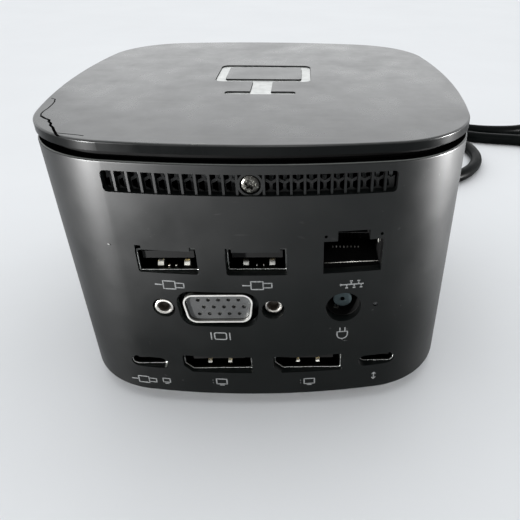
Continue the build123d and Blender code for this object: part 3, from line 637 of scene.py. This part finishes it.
def plug_grip():
    """Plug's moulded body: rounded block with finger grooves, a tapered tail and a stepped nose."""
    across, thick, length, tail = 12.0 * MM, 6.6 * MM, 20.0 * MM, 4.0 * MM
    body = block((-across / 2, tail, 0), (across / 2, length, thick))
    only(body)
    bpy.ops.object.mode_set(mode="EDIT")
    bpy.ops.mesh.select_all(action="DESELECT")
    bpy.ops.object.mode_set(mode="OBJECT")
    for edge in body.data.edges:
        a, b = (body.data.vertices[v].co for v in edge.vertices)
        edge.select = abs(a.y - b.y) > length / 2
    bpy.ops.object.mode_set(mode="EDIT")
    bpy.ops.mesh.select_mode(type="EDGE")
    bpy.ops.mesh.bevel(offset=2.4 * MM, segments=6, affect="EDGES")
    bpy.ops.mesh.select_mode(type="VERT")
    bpy.ops.object.mode_set(mode="OBJECT")
    modify(body, "BEVEL", width=0.5 * MM, segments=3, limit_method="ANGLE", angle_limit=math.radians(60))
    for number in range(5):
        y = tail + 3.2 * MM + number * 1.9 * MM
        for side in (-1, 1):
            x = side * across / 2
            cutter = block((x - 0.35 * MM, y, -MM), (x + 0.35 * MM, y + 0.8 * MM, thick + MM))
            modify(body, "BOOLEAN", operation="DIFFERENCE", object=cutter, solver="EXACT")
            bpy.data.objects.remove(cutter)
    radius = thick / 2 - 0.1 * MM
    waist = radius - 0.5 * MM
    sleeve = turned([(0.0, 3.05 * MM), (0.3 * MM, radius - 0.1 * MM), (1.0 * MM, radius), (1.3 * MM, waist),
                     (1.9 * MM, waist), (2.2 * MM, radius), (tail + 2 * MM, radius)])
    settle(sleeve, along_y(0, 0, thick / 2))
    return smooth(join([body, sleeve]))


class DOCK_OT_cable(Operator):
    """Captive cable with its strain relief and plug"""
    bl_idname = "dock.cable"
    bl_label = "Cable"

    def execute(self, context):
        sizes, colours = context.scene.dock_sizes, context.scene.dock_colours
        jacket = hand_over(cable_jacket(sizes.cable_diameter), "cable_jacket", jacket_rubber(colours.cable),
                           replaces=["host_cable"])
        soft = moulded("relief_rubber", shade(colours.cable, 1.3), 0.5, relief=0.015 * MM)
        relief = hand_over(strain_relief(), "cable_sleeve", soft, replaces=["cable_relief"])
        end, before = Vector(CABLE_ROUTE[-1]), Vector(CABLE_ROUTE[-2])
        along = (end - before).normalized()
        turn = math.atan2(along.y, along.x) - math.pi / 2
        place = Matrix.Translation((end.x, end.y, 0.05 * MM)) @ Matrix.Rotation(turn, 4, "Z")
        grip = settle(plug_grip(), place)
        hand_over(grip, "plug_grip", moulded("plug_plastic", (0.012, 0.012, 0.013), 0.45),
                  replaces=["plug_body"])
        return {"FINISHED"}


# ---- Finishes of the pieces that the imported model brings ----
def dress(material, *names):
    """Give carried-over nodes their material."""
    for name in names:
        node = nodes[name]
        node.data.materials.clear()
        node.data.materials.append(material)


class DOCK_OT_finishes(Operator):
    """Materials of the shell, lid, boards, sockets and inner pieces"""
    bl_idname = "dock.finishes"
    bl_label = "Finishes"

    def execute(self, context):
        colours = context.scene.dock_colours
        plated = metal("socket_plating", (0.62, 0.62, 0.60), 0.24, tarnish=0.5)
        socket_plastic = moulded("socket_plastic", (0.004, 0.004, 0.004), 0.6, specular=0.1)
        insert_plastic = moulded("insert_plastic", (0.026, 0.028, 0.029), 0.5)
        dress(shell_plastic(colours.shell), "outer_shell")
        dress(lid_plastic(colours.lid), "top_lid")
        dress(metal("emblem_metal", colours.emblem, 0.42, tarnish=0.15, brushed=(0.05, 1, 1)), "lid_emblem")
        dress(moulded("carrier_plastic", (0.003, 0.003, 0.003), 0.7, specular=0.05), "lid_carrier")
        dress(moulded("base_plastic", (0.010, 0.011, 0.011), 0.6), "base_plate")
        dress(moulded("foot_rubber", (0.014, 0.014, 0.014), 0.8, grain=0.4 * MM, relief=0.03 * MM), "foot_ring")
        dress(metal("black_oxide", (0.10, 0.10, 0.105), 0.4), "base_screws")
        dress(moulded("screen_plastic", (0.016, 0.017, 0.017), 0.6), "vent_screen")
        dress(solder_mask(), "lower_board", "middle_board", "upper_board")
        dress(metal("brass", (0.32, 0.23, 0.10), 0.4), *(name for name in nodes if "posts" in name))
        dress(metal("bronze", (0.50, 0.34, 0.18), 0.45), "fan_bearing")
        dress(moulded("link_plastic", (0.03, 0.03, 0.028), 0.5), "board_link_lower", "board_link_upper")
        dress(metal("cast_aluminium", (0.10, 0.105, 0.105), 0.5, brushed=(1, 1, 0.05)), "heat_sink")
        dress(moulded("fan_plastic", (0.012, 0.012, 0.012), 0.45), "fan_housing", "fan_cover", "fan_rotor")
        dress(plated, "plug_tip")
        # Sockets on the socket face: plating darkened to near black as painted shade, with painted shade
        # inside; the front and side sockets below keep bright plating.
        for group in (("usb_a_left", "usb_a_right"), ("displayport_left", "displayport_right"), ("usb_c_left",),
                      ("usb_c_right",)):
            names = [f"{name}_shell" for name in group]
            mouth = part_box(names[0])[0].y
            dress(socket_metal(f"{names[0]}_plating", "Y", mouth, 1, (0.06, 0.062, 0.06)), *names)
        for name, axis in (("usb_c_front_shell", "Y"), ("usb_a_side_shell", "X")):
            mouth = getattr(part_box(name)[1], axis.lower())
            dress(socket_metal(f"{name}_plating", axis, mouth, -1, (0.42, 0.43, 0.42)), name)
        tongues = (name for name in nodes if name.endswith("_tongue"))
        dress(socket_plastic, *tongues, "ethernet_jack", "dc_socket", "audio_jack")
        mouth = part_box("vga_shell")[0].y
        # Painted shade: the shell behind the first 0.9 mm of the rim is painted near black.
        dress(socket_metal("vga_rim", "Y", mouth, 1, (0.78, 0.77, 0.73), 0.9 * MM), "vga_shell")
        dress(metal("post_metal", (0.055, 0.072, 0.076), 0.42, tarnish=0.4), "dc_post")
        dress(insert_plastic, "vga_insert")
        dress(metal("lock_steel", (0.30, 0.30, 0.30), 0.4), "lock_plate")
        dress(clear_plastic("light_pipe", (0.028, 0.03, 0.03)), "status_light")
        dress(clear_plastic("ring_diffuser", (0.55, 0.57, 0.58)), "button_ring")
        dress(moulded("button_plastic", (0.016, 0.017, 0.017), 0.4), "power_button")
        dress(moulded("switch_plastic", (0.02, 0.02, 0.02), 0.5), "button_plunger", "button_switch")
        return {"FINISHED"}


# ---- Vent screw ----
def star_recess(radius, deep):
    """Six-lobed drive, as a cutter along +Z."""
    bpy.ops.object.select_all(action="DESELECT")
    bpy.ops.mesh.primitive_circle_add(vertices=48, radius=radius, fill_type="NGON")
    cutter = settle(bpy.context.object)
    for vertex in cutter.data.vertices:
        angle = math.atan2(vertex.co.y, vertex.co.x)
        vertex.co *= 1 - 0.16 * (1 - math.cos(6 * angle))
    only(cutter)
    bpy.ops.object.mode_set(mode="EDIT")
    bpy.ops.mesh.select_all(action="SELECT")
    bpy.ops.mesh.extrude_region_move(TRANSFORM_OT_translate={"value": (0, 0, deep)})
    bpy.ops.object.mode_set(mode="OBJECT")
    return outwards(cutter)


class DOCK_OT_vent_screw(Operator):
    """Screw in the middle of the vent"""
    bl_idname = "dock.vent_screw"
    bl_label = "Vent screw"

    def execute(self, context):
        low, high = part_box("vent_screw")
        middle = (low + high) / 2
        head, shank = (high.x - low.x) / 2, 1.2 * MM
        length = high.y - low.y
        stations = [(0, head * 0.62), (0.10 * MM, head * 0.86), (0.30 * MM, head * 0.97), (0.50 * MM, head),
                    (1.3 * MM, head), (1.3 * MM, shank)]
        thread = 0.45 * MM
        turns = int((length - 1.6 * MM) / thread)
        for number in range(turns):
            at = 1.5 * MM + number * thread
            stations += [(at, shank), (at + 0.5 * thread, shank * 0.86)]
        stations += [(length - 0.3 * MM, shank * 0.8), (length, shank * 0.5)]
        screw = turned(stations)
        recess = star_recess(1.15 * MM, 1.1 * MM)
        settle(recess, Matrix.Translation((0, 0, -0.3 * MM)))
        modify(screw, "BOOLEAN", operation="DIFFERENCE", object=recess, solver="EXACT")
        bpy.data.objects.remove(recess)
        settle(screw, along_y(middle.x, low.y, middle.z) @ Matrix.Rotation(math.radians(11), 4, "Z"))
        hand_over(smooth(screw), "star_screw", worn_screw(), replaces=["vent_screw"])
        return {"FINISHED"}


# ---- Contacts and springs in the sockets ----
def gold():
    return metal("contact_gold", (0.80, 0.62, 0.30), 0.22, tarnish=0.3)


def spring_steel():
    return metal("spring_steel", (0.86, 0.85, 0.78), 0.22, tarnish=0.2)


def spring_pair(apart, length, across, thickness, rise, place):
    """Two leaf springs at equal distances from a place, along x."""
    middle = Matrix.Translation(place)
    return [settle(strip(length, across, thickness, rise), middle @ Matrix.Translation((x, 0, 0)))
            for x in (-apart, apart)]


def contact_row(count, pitch, half, near, far, low, high, edge, segments=2):
    """Flat contacts side by side about x = 0, between two depths and two heights."""
    places = [(number - (count - 1) / 2) * pitch for number in range(count)]
    return [block((x - half, near, low), (x + half, far, high), edge, segments) for x in places]


def usb_a_details(name, facing, shift):
    """Two springs on the lower wall, a folded seam between them and the contacts under the tongue."""
    tongue_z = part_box(f"{name}_tongue")[0].z
    leg = 1.4 * MM if facing == "back" else 0.0
    floor_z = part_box(f"{name}_shell")[0].z + leg + 0.35 * MM
    place = (shift, 2.5 * MM, floor_z - 0.05 * MM)
    springs = spring_pair(2.9 * MM, 2.2 * MM, 1.25 * MM, 0.16 * MM, 1.0 * MM, place)
    for x in (-0.35 * MM, 1.15 * MM):
        springs.append(block((x, 0.9 * MM, floor_z), (x + 0.35 * MM, 1.5 * MM, floor_z + 0.35 * MM), 0.1 * MM))
    contacts = contact_row(4, 2.3 * MM, 0.5 * MM, 1.6 * MM, 8.6 * MM, tongue_z - 0.06 * MM,
                           tongue_z + 0.05 * MM, 0.04 * MM)
    return join(springs), join(contacts)


def lip(name, points, half_height):
    """Rolled bright edge of a socket's mouth, through points about the socket's middle, in millimetres."""
    low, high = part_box(f"{name}_shell")
    wire = strokes([(points, False)], 0.13 * MM)
    settle(wire, Matrix.Translation(((low.x + high.x) / 2, low.y - 0.02 * MM, high.z - half_height)))
    material = bpy.data.materials.get("lip_steel") or metal("lip_steel", (0.56, 0.57, 0.55), 0.25, tarnish=0.6)
    return hand_over(outwards(wire), f"{name}_lip", material)


def mouth_place(name, facing):
    """Matrix from a socket drawn at the origin, looking along -Y, to where the named socket is."""
    low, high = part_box(f"{name}_shell")
    middle = (low + high) / 2
    if facing == "back":
        return Matrix.Translation((middle.x, low.y, 0))
    if facing == "front":
        return Matrix.Translation((middle.x, high.y, 0)) @ Matrix.Rotation(math.pi, 4, "Z")
    return Matrix.Translation((high.x, middle.y, 0)) @ Matrix.Rotation(math.pi / 2, 4, "Z")


class DOCK_OT_usb_a(Operator):
    """Springs and contacts of the USB-A sockets"""
    bl_idname = "dock.usb_a"
    bl_label = "USB-A details"

    def execute(self, context):
        contact, wide, high = gold(), 6.325, 2.625
        edge = [(-wide, high - 0.9), (-wide, -high), (wide, -high), (wide, -high + 0.5)]
        for name, facing, shift, steel in (
                ("usb_a_left", "back", 0.70, spring_steel()),
                ("usb_a_right", "back", 0.25, metal("dull_spring", (0.22, 0.22, 0.21), 0.3, tarnish=0.5)),
                ("usb_a_side", "right", 0.0, spring_steel())):
            springs, contacts = usb_a_details(name, facing, shift * MM)
            if facing == "back":
                lip(name, edge, 2.8 * MM)
            place = mouth_place(name, facing)
            hand_over(settle(springs, place), f"{name}_springs", steel)
            hand_over(settle(contacts, place), f"{name}_contacts", contact)
        return {"FINISHED"}


class DOCK_OT_displayport(Operator):
    """Springs and contacts of the two display sockets"""
    bl_idname = "dock.displayport"
    bl_label = "Display socket details"

    def execute(self, context):
        steel, contact = spring_steel(), gold()
        for name in ("displayport_left", "displayport_right"):
            floor_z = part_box(f"{name}_shell")[0].z + 0.35 * MM
            tongue_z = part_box(f"{name}_tongue")[0].z
            place = (0, 2.9 * MM, floor_z - 0.05 * MM)
            springs = spring_pair(2.5 * MM, 2.4 * MM, 0.95 * MM, 0.14 * MM, 0.7 * MM, place)
            contacts = contact_row(10, 1.0 * MM, 0.2 * MM, 1.3 * MM, 8.3 * MM, tongue_z - 0.05 * MM,
                                   tongue_z + 0.05 * MM, 0.03 * MM)
            wide, high, cut = 8.175, 2.375, 1.9
            lip(name, [(-wide, high - 1.1), (-wide, -high + cut), (-wide + cut, -high), (wide, -high),
                       (wide, high - 0.8)], 2.55 * MM)
            place = mouth_place(name, "back")
            hand_over(settle(join(springs), place), f"{name}_springs", steel)
            hand_over(settle(join(contacts), place), f"{name}_contacts", contact)
        return {"FINISHED"}


class DOCK_OT_usb_c(Operator):
    """Contacts on the tongues of the USB-C sockets"""
    bl_idname = "dock.usb_c"
    bl_label = "USB-C details"

    def execute(self, context):
        contact = gold()
        for name, facing in (("usb_c_left", "back"), ("usb_c_right", "back"), ("usb_c_front", "front")):
            strips = []
            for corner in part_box(f"{name}_tongue"):
                strips += contact_row(12, 0.5 * MM, 0.13 * MM, 1.3 * MM, 5.0 * MM, corner.z - 0.03 * MM,
                                      corner.z + 0.03 * MM, 0.015 * MM, 1)
            strips = settle(join(strips), mouth_place(name, facing))
            hand_over(strips, f"{name}_contacts", contact)
            if facing == "back":
                lip(name, arc(-2.9, 0, 1.45, 165, 270) + arc(2.9, 0, 1.45, 270, 375), 1.6 * MM)
        return {"FINISHED"}


class DOCK_OT_ethernet(Operator):
    """Contact springs and shield of the Ethernet socket"""
    bl_idname = "dock.ethernet"
    bl_label = "Ethernet details"

    def execute(self, context):
        low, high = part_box("ethernet_jack")
        middle_x = (low.x + high.x) / 2
        hole_low, hole_half = 40.7 * MM, 6.25 * MM
        thick, tip = 0.19 * MM, 0.12 * MM
        wire = turned([(0, tip), (0.06 * MM, thick), (6.6 * MM, thick), (6.66 * MM, tip)], 10)
        tilt = Matrix.Rotation(math.radians(14), 4, "X")
        wires = []
        for number in range(8):
            x = middle_x - 0.9 * MM + (number - 3.5) * 0.86 * MM
            place = Matrix.Translation((x, low.y + 5.6 * MM, hole_low + 0.75 * MM)) @ tilt
            wires.append(copy_of(wire, place @ Matrix.Rotation(math.radians(-90), 4, "X")))
        bpy.data.objects.remove(wire)
        # Painted shade: the contacts keep bright plating only on their first 0.35 mm and are painted near black
        # further in.
        plating = socket_metal("ethernet_tip", "Y", low.y + 5.6 * MM, 1, (0.85, 0.84, 0.8), 0.35 * MM)
        hand_over(smooth(join(wires)), "ethernet_contacts", plating)
        thick, tip = 0.13 * MM, 0.08 * MM
        rail = turned([(0, tip), (0.1 * MM, thick), (12.2 * MM, thick), (12.3 * MM, tip)], 12)
        start = (middle_x - hole_half + 0.05 * MM, low.y - 0.2 * MM, hole_low + 0.1 * MM)
        settle(rail, Matrix.Translation(start) @ Matrix.Rotation(math.radians(87), 4, "Y"))
        tab = block((middle_x + hole_half - 0.32 * MM, low.y + 1.2 * MM, hole_low + 4.6 * MM),
                    (middle_x + hole_half - 0.05 * MM, low.y + 3.4 * MM, hole_low + 6.6 * MM), 0.1 * MM)
        peg = block((middle_x - 2.4 * MM, low.y + 1.0 * MM, hole_low + 9.0 * MM),
                    (middle_x - 2.0 * MM, low.y + 1.4 * MM, hole_low + 9.4 * MM), 0.1 * MM)
        hand_over(join([rail, tab, peg]), "ethernet_shield", spring_steel())
        return {"FINISHED"}


class DOCK_OT_vga(Operator):
    """Pin sleeves and jackscrews of the analogue display socket"""
    bl_idname = "dock.vga"
    bl_label = "Analogue display socket details"

    def execute(self, context):
        insert_low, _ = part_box("vga_insert")
        rim_low, rim_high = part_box("vga_shell")
        middle_x = (rim_low.x + rim_high.x) / 2
        middle_z = (rim_low.z + rim_high.z) / 2
        pitch, row_gap = 2.29 * MM, 1.98 * MM
        outer, inner = 0.40 * MM, 0.24 * MM
        sleeve = turned([(0, outer), (1.6 * MM, outer), (1.6 * MM, inner), (0.9 * MM, inner)], 16)
        sleeves = []
        for row in (-1, 0, 1):
            for pin in range(5):
                x = middle_x + (pin - 2) * pitch + (pitch / 2 if row == 0 else 0)
                place = along_y(x, insert_low.y + 2.40 * MM, middle_z + row * row_gap, backwards=True)
                sleeves.append(copy_of(sleeve, place))
        bpy.data.objects.remove(sleeve)
        hand_over(smooth(join(sleeves)), "vga_contacts", spring_steel())
        screws_low, screws_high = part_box("vga_jackscrews")
        radius, bore = 2.15 * MM, 1.42 * MM
        length = screws_high.y - screws_low.y
        stations = [(0, radius), (length - 0.35 * MM, radius), (length - 0.1 * MM, radius - 0.12 * MM),
                    (length, radius - 0.3 * MM), (length, bore + 0.22 * MM), (length - 0.25 * MM, bore)]
        for turn_number in range(4):
            at = length - 0.25 * MM - turn_number * 0.5 * MM
            stations += [(at - 0.25 * MM, bore + 0.16 * MM), (at - 0.5 * MM, bore)]
        liner, seat = bore - 0.02 * MM, length - 0.45 * MM
        lining = [(0, liner), (seat, liner), (seat, bore - 0.16 * MM), (0.6 * MM, bore - 0.16 * MM)]
        screws, liners = [], []
        for x in (screws_low.x + radius, screws_high.x - radius):
            place = along_y(x, screws_high.y, middle_z, backwards=True)
            screws.append(settle(turned(stations), place))
            liners.append(settle(turned(lining, 32), place))
        # Painted shade: dark brownish liners inside the jackscrews' bores.
        bore_shade = moulded("painted_bore_shade", (0.030, 0.024, 0.018), 0.45)
        hand_over(smooth(join(liners)), "jackscrew_bore_shade", bore_shade)
        nickel = metal("jackscrew_nickel", (0.66, 0.64, 0.60), 0.24)
        hand_over(smooth(join(screws)), "jackscrews", nickel, replaces=["vga_jackscrews"])
        return {"FINISHED"}


class DOCK_OT_power_socket(Operator):
    """Leaf spring in the power socket's bore"""
    bl_idname = "dock.power_socket"
    bl_label = "Power socket details"

    def execute(self, context):
        low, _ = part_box("dc_socket")
        middle = middle_of("dc_post")
        leaf = strip(4.6 * MM, 1.3 * MM, 0.18 * MM, 0.7 * MM)
        place = Matrix.Translation((middle.x, low.y + 4.4 * MM, middle.z))
        place = place @ Matrix.Rotation(math.radians(22), 4, "Y") @ Matrix.Translation((0, 0, -3.75 * MM))
        hand_over(settle(leaf, place), "dc_leaf", spring_steel())
        return {"FINISHED"}


# ---- Printed signs ----
def close_set(points, step=0.8):
    """The same line with more points on it, so that it can follow a bowed face."""
    dense = [points[0]]
    for (x0, z0), (x1, z1) in zip(points, points[1:]):
        count = math.ceil(math.hypot(x1 - x0, z1 - z0) / step)
        dense += [(x0 + (x1 - x0) * n / count, z0 + (z1 - z0) * n / count) for n in range(1, count + 1)]
    return dense


def strokes(lines, thick):
    """Flat printed lines in the x-z plane: each line is (points in millimetres, closed)."""
    curve = bpy.data.curves.new("strokes", "CURVE")
    curve.dimensions = "3D"
    curve.bevel_depth = thick / 2
    curve.bevel_resolution = 2
    curve.use_fill_caps = True
    for points, closed in lines:
        points = close_set(points + points[:1])[:-1] if closed else close_set(points)
        line = curve.splines.new("POLY")
        line.points.add(len(points) - 1)
        for point, (x, z) in zip(line.points, points):
            point.co = (x * MM, 0, z * MM, 1)
        line.use_cyclic_u = closed
    piece = bpy.data.objects.new("strokes", curve)
    bpy.context.scene.collection.objects.link(piece)
    only(piece)
    bpy.ops.object.convert(target="MESH")
    return bpy.context.object


def rectangle(x, z, wide, high):
    """Closed outline about a middle point."""
    return [(x - wide / 2, z - high / 2), (x + wide / 2, z - high / 2), (x + wide / 2, z + high / 2),
            (x - wide / 2, z + high / 2)], True


def arc(x, z, radius, start, end, steps=8):
    """Points of an arc, in degrees."""
    angles = [math.radians(start + (end - start) * step / steps) for step in range(steps + 1)]
    return [(x + radius * math.cos(a), z + radius * math.sin(a)) for a in angles]


def data_plug_sign():
    """A cable that ends in a plug, for a data socket."""
    return [([(-3.4, 0), (-1.5, 0)], False), rectangle(-0.15, 0, 2.7, 2.1), rectangle(2.15, 0, 1.9, 1.2)]


def network_sign():
    """A line with stations above and below it."""
    lines = [([(-2.6, 0), (2.6, 0)], False)]
    for x, side in ((-0.2, 1), (1.5, 1), (-1.2, -1), (0.5, -1), (2.1, -1)):
        lines.append(([(x, 0), (x, 0.6 * side)], False))
        lines.append(([(x - 0.3, 0.9 * side), (x + 0.3, 0.9 * side)], False))
    lines.append(([(-2.6, -0.3), (-2.6, 0.3)], False))
    return lines


def monitor_sign():
    """A rounded screen between two bars."""
    wide, high, corner = 1.4, 1.0, 0.4
    outline = []
    for x, z, start in ((wide - corner, high - corner, 0), (-wide + corner, high - corner, 90),
                        (-wide + corner, -high + corner, 180), (wide - corner, -high + corner, 270)):
        outline += arc(x, z, corner, start, start + 90, 4)
    return [(outline, True), ([(-2.2, -1.15), (-2.2, 1.15)], False), ([(2.2, -1.15), (2.2, 1.15)], False)]


def mains_sign():
    """A two-pronged plug on a lead."""
    body = [(-1.25, 0.75), (1.25, 0.75)] + arc(0, -0.15, 1.25, 0, -180, 10)
    return [(body, True), ([(-0.6, 0.8), (-0.6, 2.0)], False), ([(0.6, 0.8), (0.6, 2.0)], False),
            ([(0, -1.4), (0, -1.75)] + arc(0.55, -1.6, 0.55, 180, 270, 5) + [(1.2, -2.15)], False)]


def screen_sign():
    """A small screen with two dots beside it."""
    return [rectangle(0.5, 0.2, 2.6, 1.7), ([(-0.1, -1.05), (1.1, -1.05)], False),
            ([(-1.75, 0.6), (-1.65, 0.6)], False), ([(-1.75, -0.3), (-1.65, -0.3)], False)]


def small_screen_sign():
    return [rectangle(0, 0.15, 1.8, 1.3), ([(-0.5, -0.95), (0.5, -0.95)], False)]


def two_way_sign():
    """An arrow that points both ways."""
    return [([(0, -1.1), (0, 1.1)], False), ([(-0.5, 0.55), (0, 1.15), (0.5, 0.55)], False),
            ([(-0.5, -0.55), (0, -1.15), (0.5, -0.55)], False)]


SIGNS = (
    ("sign_usb_left", data_plug_sign, -19.2, 37.5), ("sign_usb_right", data_plug_sign, 0.3, 37.9),
    ("sign_network", network_sign, 21.3, 37.3), ("sign_monitor", monitor_sign, -9.2, 23.2),
    ("sign_power", mains_sign, 19.6, 22.9), ("sign_usb_c_left", data_plug_sign, -30.2, 7.1),
    ("sign_small_screen", small_screen_sign, -24.4, 7.35), ("sign_screen_left", screen_sign, -10.75, 8.0),
    ("sign_screen_right", screen_sign, 11.25, 7.8), ("sign_two_way", two_way_sign, 28.3, 7.9),
)


def on_face(piece, x, z, proud):
    """Flatten a sign to its ink height and lay it on the bowed face, about a point."""
    for vertex in piece.data.vertices:
        flat = vertex.co.y / (0.5 * bpy.context.scene.dock_sizes.sign_line)
        vertex.co.x += x
        vertex.co.z += z
        vertex.co.y = face_y(vertex.co.x) + flat * proud
    return outwards(piece)


class DOCK_OT_signs(Operator):
    """Printed signs under the sockets"""
    bl_idname = "dock.signs"
    bl_label = "Signs"

    def execute(self, context):
        sizes = context.scene.dock_sizes
        printed = ink(context.scene.dock_colours.signs)
        for name, lines, x, z in SIGNS:
            piece = on_face(strokes(lines(), sizes.sign_line), x * MM, z * MM, sizes.sign_height)
            hand_over(piece, name, printed)
        return {"FINISHED"}


# ---- Wear on the lid ----
# Lines on the lid, as (x, y) in millimetres.
CRACK = [
    (-47.9, -19.6), (-46.8, -20.3), (-46.1, -22.4), (-45.8, -24.6), (-45.6, -27.3), (-45.7, -29.6),
    (-45.5, -31.4), (-44.9, -32.9), (-43.4, -34.5), (-42.2, -35.4), (-41.8, -36.6), (-41.0, -37.6),
    (-40.6, -38.9), (-39.6, -40.2), (-38.8, -41.8), (-38.2, -42.8), (-37.5, -44.1), (-36.5, -45.4),
]
NICK = [(-10.4, -49.35), (-9.0, -49.0), (-7.6, -49.2)]
BRANCH = [(-38.0, -43.3), (-36.6, -43.7), (-35.0, -44.1), (-33.6, -44.4), (-31.9, -45.0)]


def on_lid(lines, thick):
    """Lines drawn in the x-z plane, flattened and laid on the lid."""
    piece = strokes([(points, False) for points in lines], thick)
    for vertex in piece.data.vertices:
        x, y, z = vertex.co
        vertex.co = (x, z, lid_high.z + 0.03 * y)
    return piece


class DOCK_OT_wear(Operator):
    """Crack across the lid's corner, a nick in its edge and a fleck on the socket face"""
    bl_idname = "dock.wear"
    bl_label = "Wear"

    def execute(self, context):
        fine, wide = CRACK[:8], CRACK[7:]
        crack = join([on_lid([fine], 0.28 * MM), on_lid([wide], 0.55 * MM), on_lid([BRANCH], 0.3 * MM)])
        dark = moulded("crack_shadow", (0.002, 0.002, 0.002), 0.9, specular=0.0)
        hand_over(outwards(crack), "lid_crack", dark)
        pale = moulded("bare_plastic", (0.22, 0.225, 0.21), 0.6)
        hand_over(outwards(on_lid([NICK], 0.35 * MM)), "lid_nick", pale)
        dash = strokes([([(-0.3, 0.15), (0.3, -0.15)], False)], 0.3 * MM)
        hand_over(on_face(dash, -31.1 * MM, 47.0 * MM, 0.02 * MM), "face_fleck", pale)
        return {"FINISHED"}


# ---- Power button's sign ----
class DOCK_OT_button_sign(Operator):
    """Power sign on the button, which rides on it"""
    bl_idname = "dock.button_sign"
    bl_label = "Button sign"

    def execute(self, context):
        sizes = context.scene.dock_sizes
        low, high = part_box("power_button")
        middle = (low + high) / 2
        ring, stem = arc(0, -0.1, 1.5, 125, 415, 20), [(0, 0.5), (0, 2.0)]
        piece = strokes([(ring, False), (stem, False)], sizes.sign_line)
        for vertex in piece.data.vertices:
            x = middle.x - vertex.co.x
            flat = vertex.co.y / (0.5 * sizes.sign_line)
            vertex.co.x = x
            vertex.co.z += middle.z
            vertex.co.y = reach(x, depth, width) + 0.5 * MM + flat * sizes.sign_height
        hand_over(outwards(piece), "sign_on_button", bpy.data.materials["sign_ink"], body="button")
        return {"FINISHED"}


OPERATORS = (
    DOCK_OT_stage, DOCK_OT_cable, DOCK_OT_finishes, DOCK_OT_vent_screw, DOCK_OT_usb_a, DOCK_OT_displayport,
    DOCK_OT_usb_c, DOCK_OT_ethernet, DOCK_OT_vga, DOCK_OT_power_socket, DOCK_OT_signs, DOCK_OT_wear,
    DOCK_OT_button_sign,
)


class DOCK_PT_panel(Panel):
    """Lists the dock's settings and the steps that make it"""
    bl_idname = "DOCK_PT_panel"
    bl_label = "Docking Station"
    bl_space_type = "VIEW_3D"
    bl_region_type = "UI"
    bl_category = "Dock"

    def draw(self, context):
        for settings in (context.scene.dock_colours, context.scene.dock_sizes):
            box = self.layout.box()
            for key in settings.__annotations__:
                box.prop(settings, key)
        for operator in OPERATORS:
            self.layout.operator(operator.bl_idname)


def register():
    for kind in (DockColours, DockSizes, *OPERATORS, DOCK_PT_panel):
        bpy.utils.register_class(kind)
    bpy.types.Scene.dock_colours = PointerProperty(type=DockColours)
    bpy.types.Scene.dock_sizes = PointerProperty(type=DockSizes)


def unregister():
    del bpy.types.Scene.dock_colours
    del bpy.types.Scene.dock_sizes
    for kind in reversed((DockColours, DockSizes, *OPERATORS, DOCK_PT_panel)):
        bpy.utils.unregister_class(kind)


def main():
    register()
    for operator in OPERATORS:
        group, step = operator.bl_idname.split(".")
        getattr(getattr(bpy.ops, group), step)()


if __name__ == "__main__":
    main()
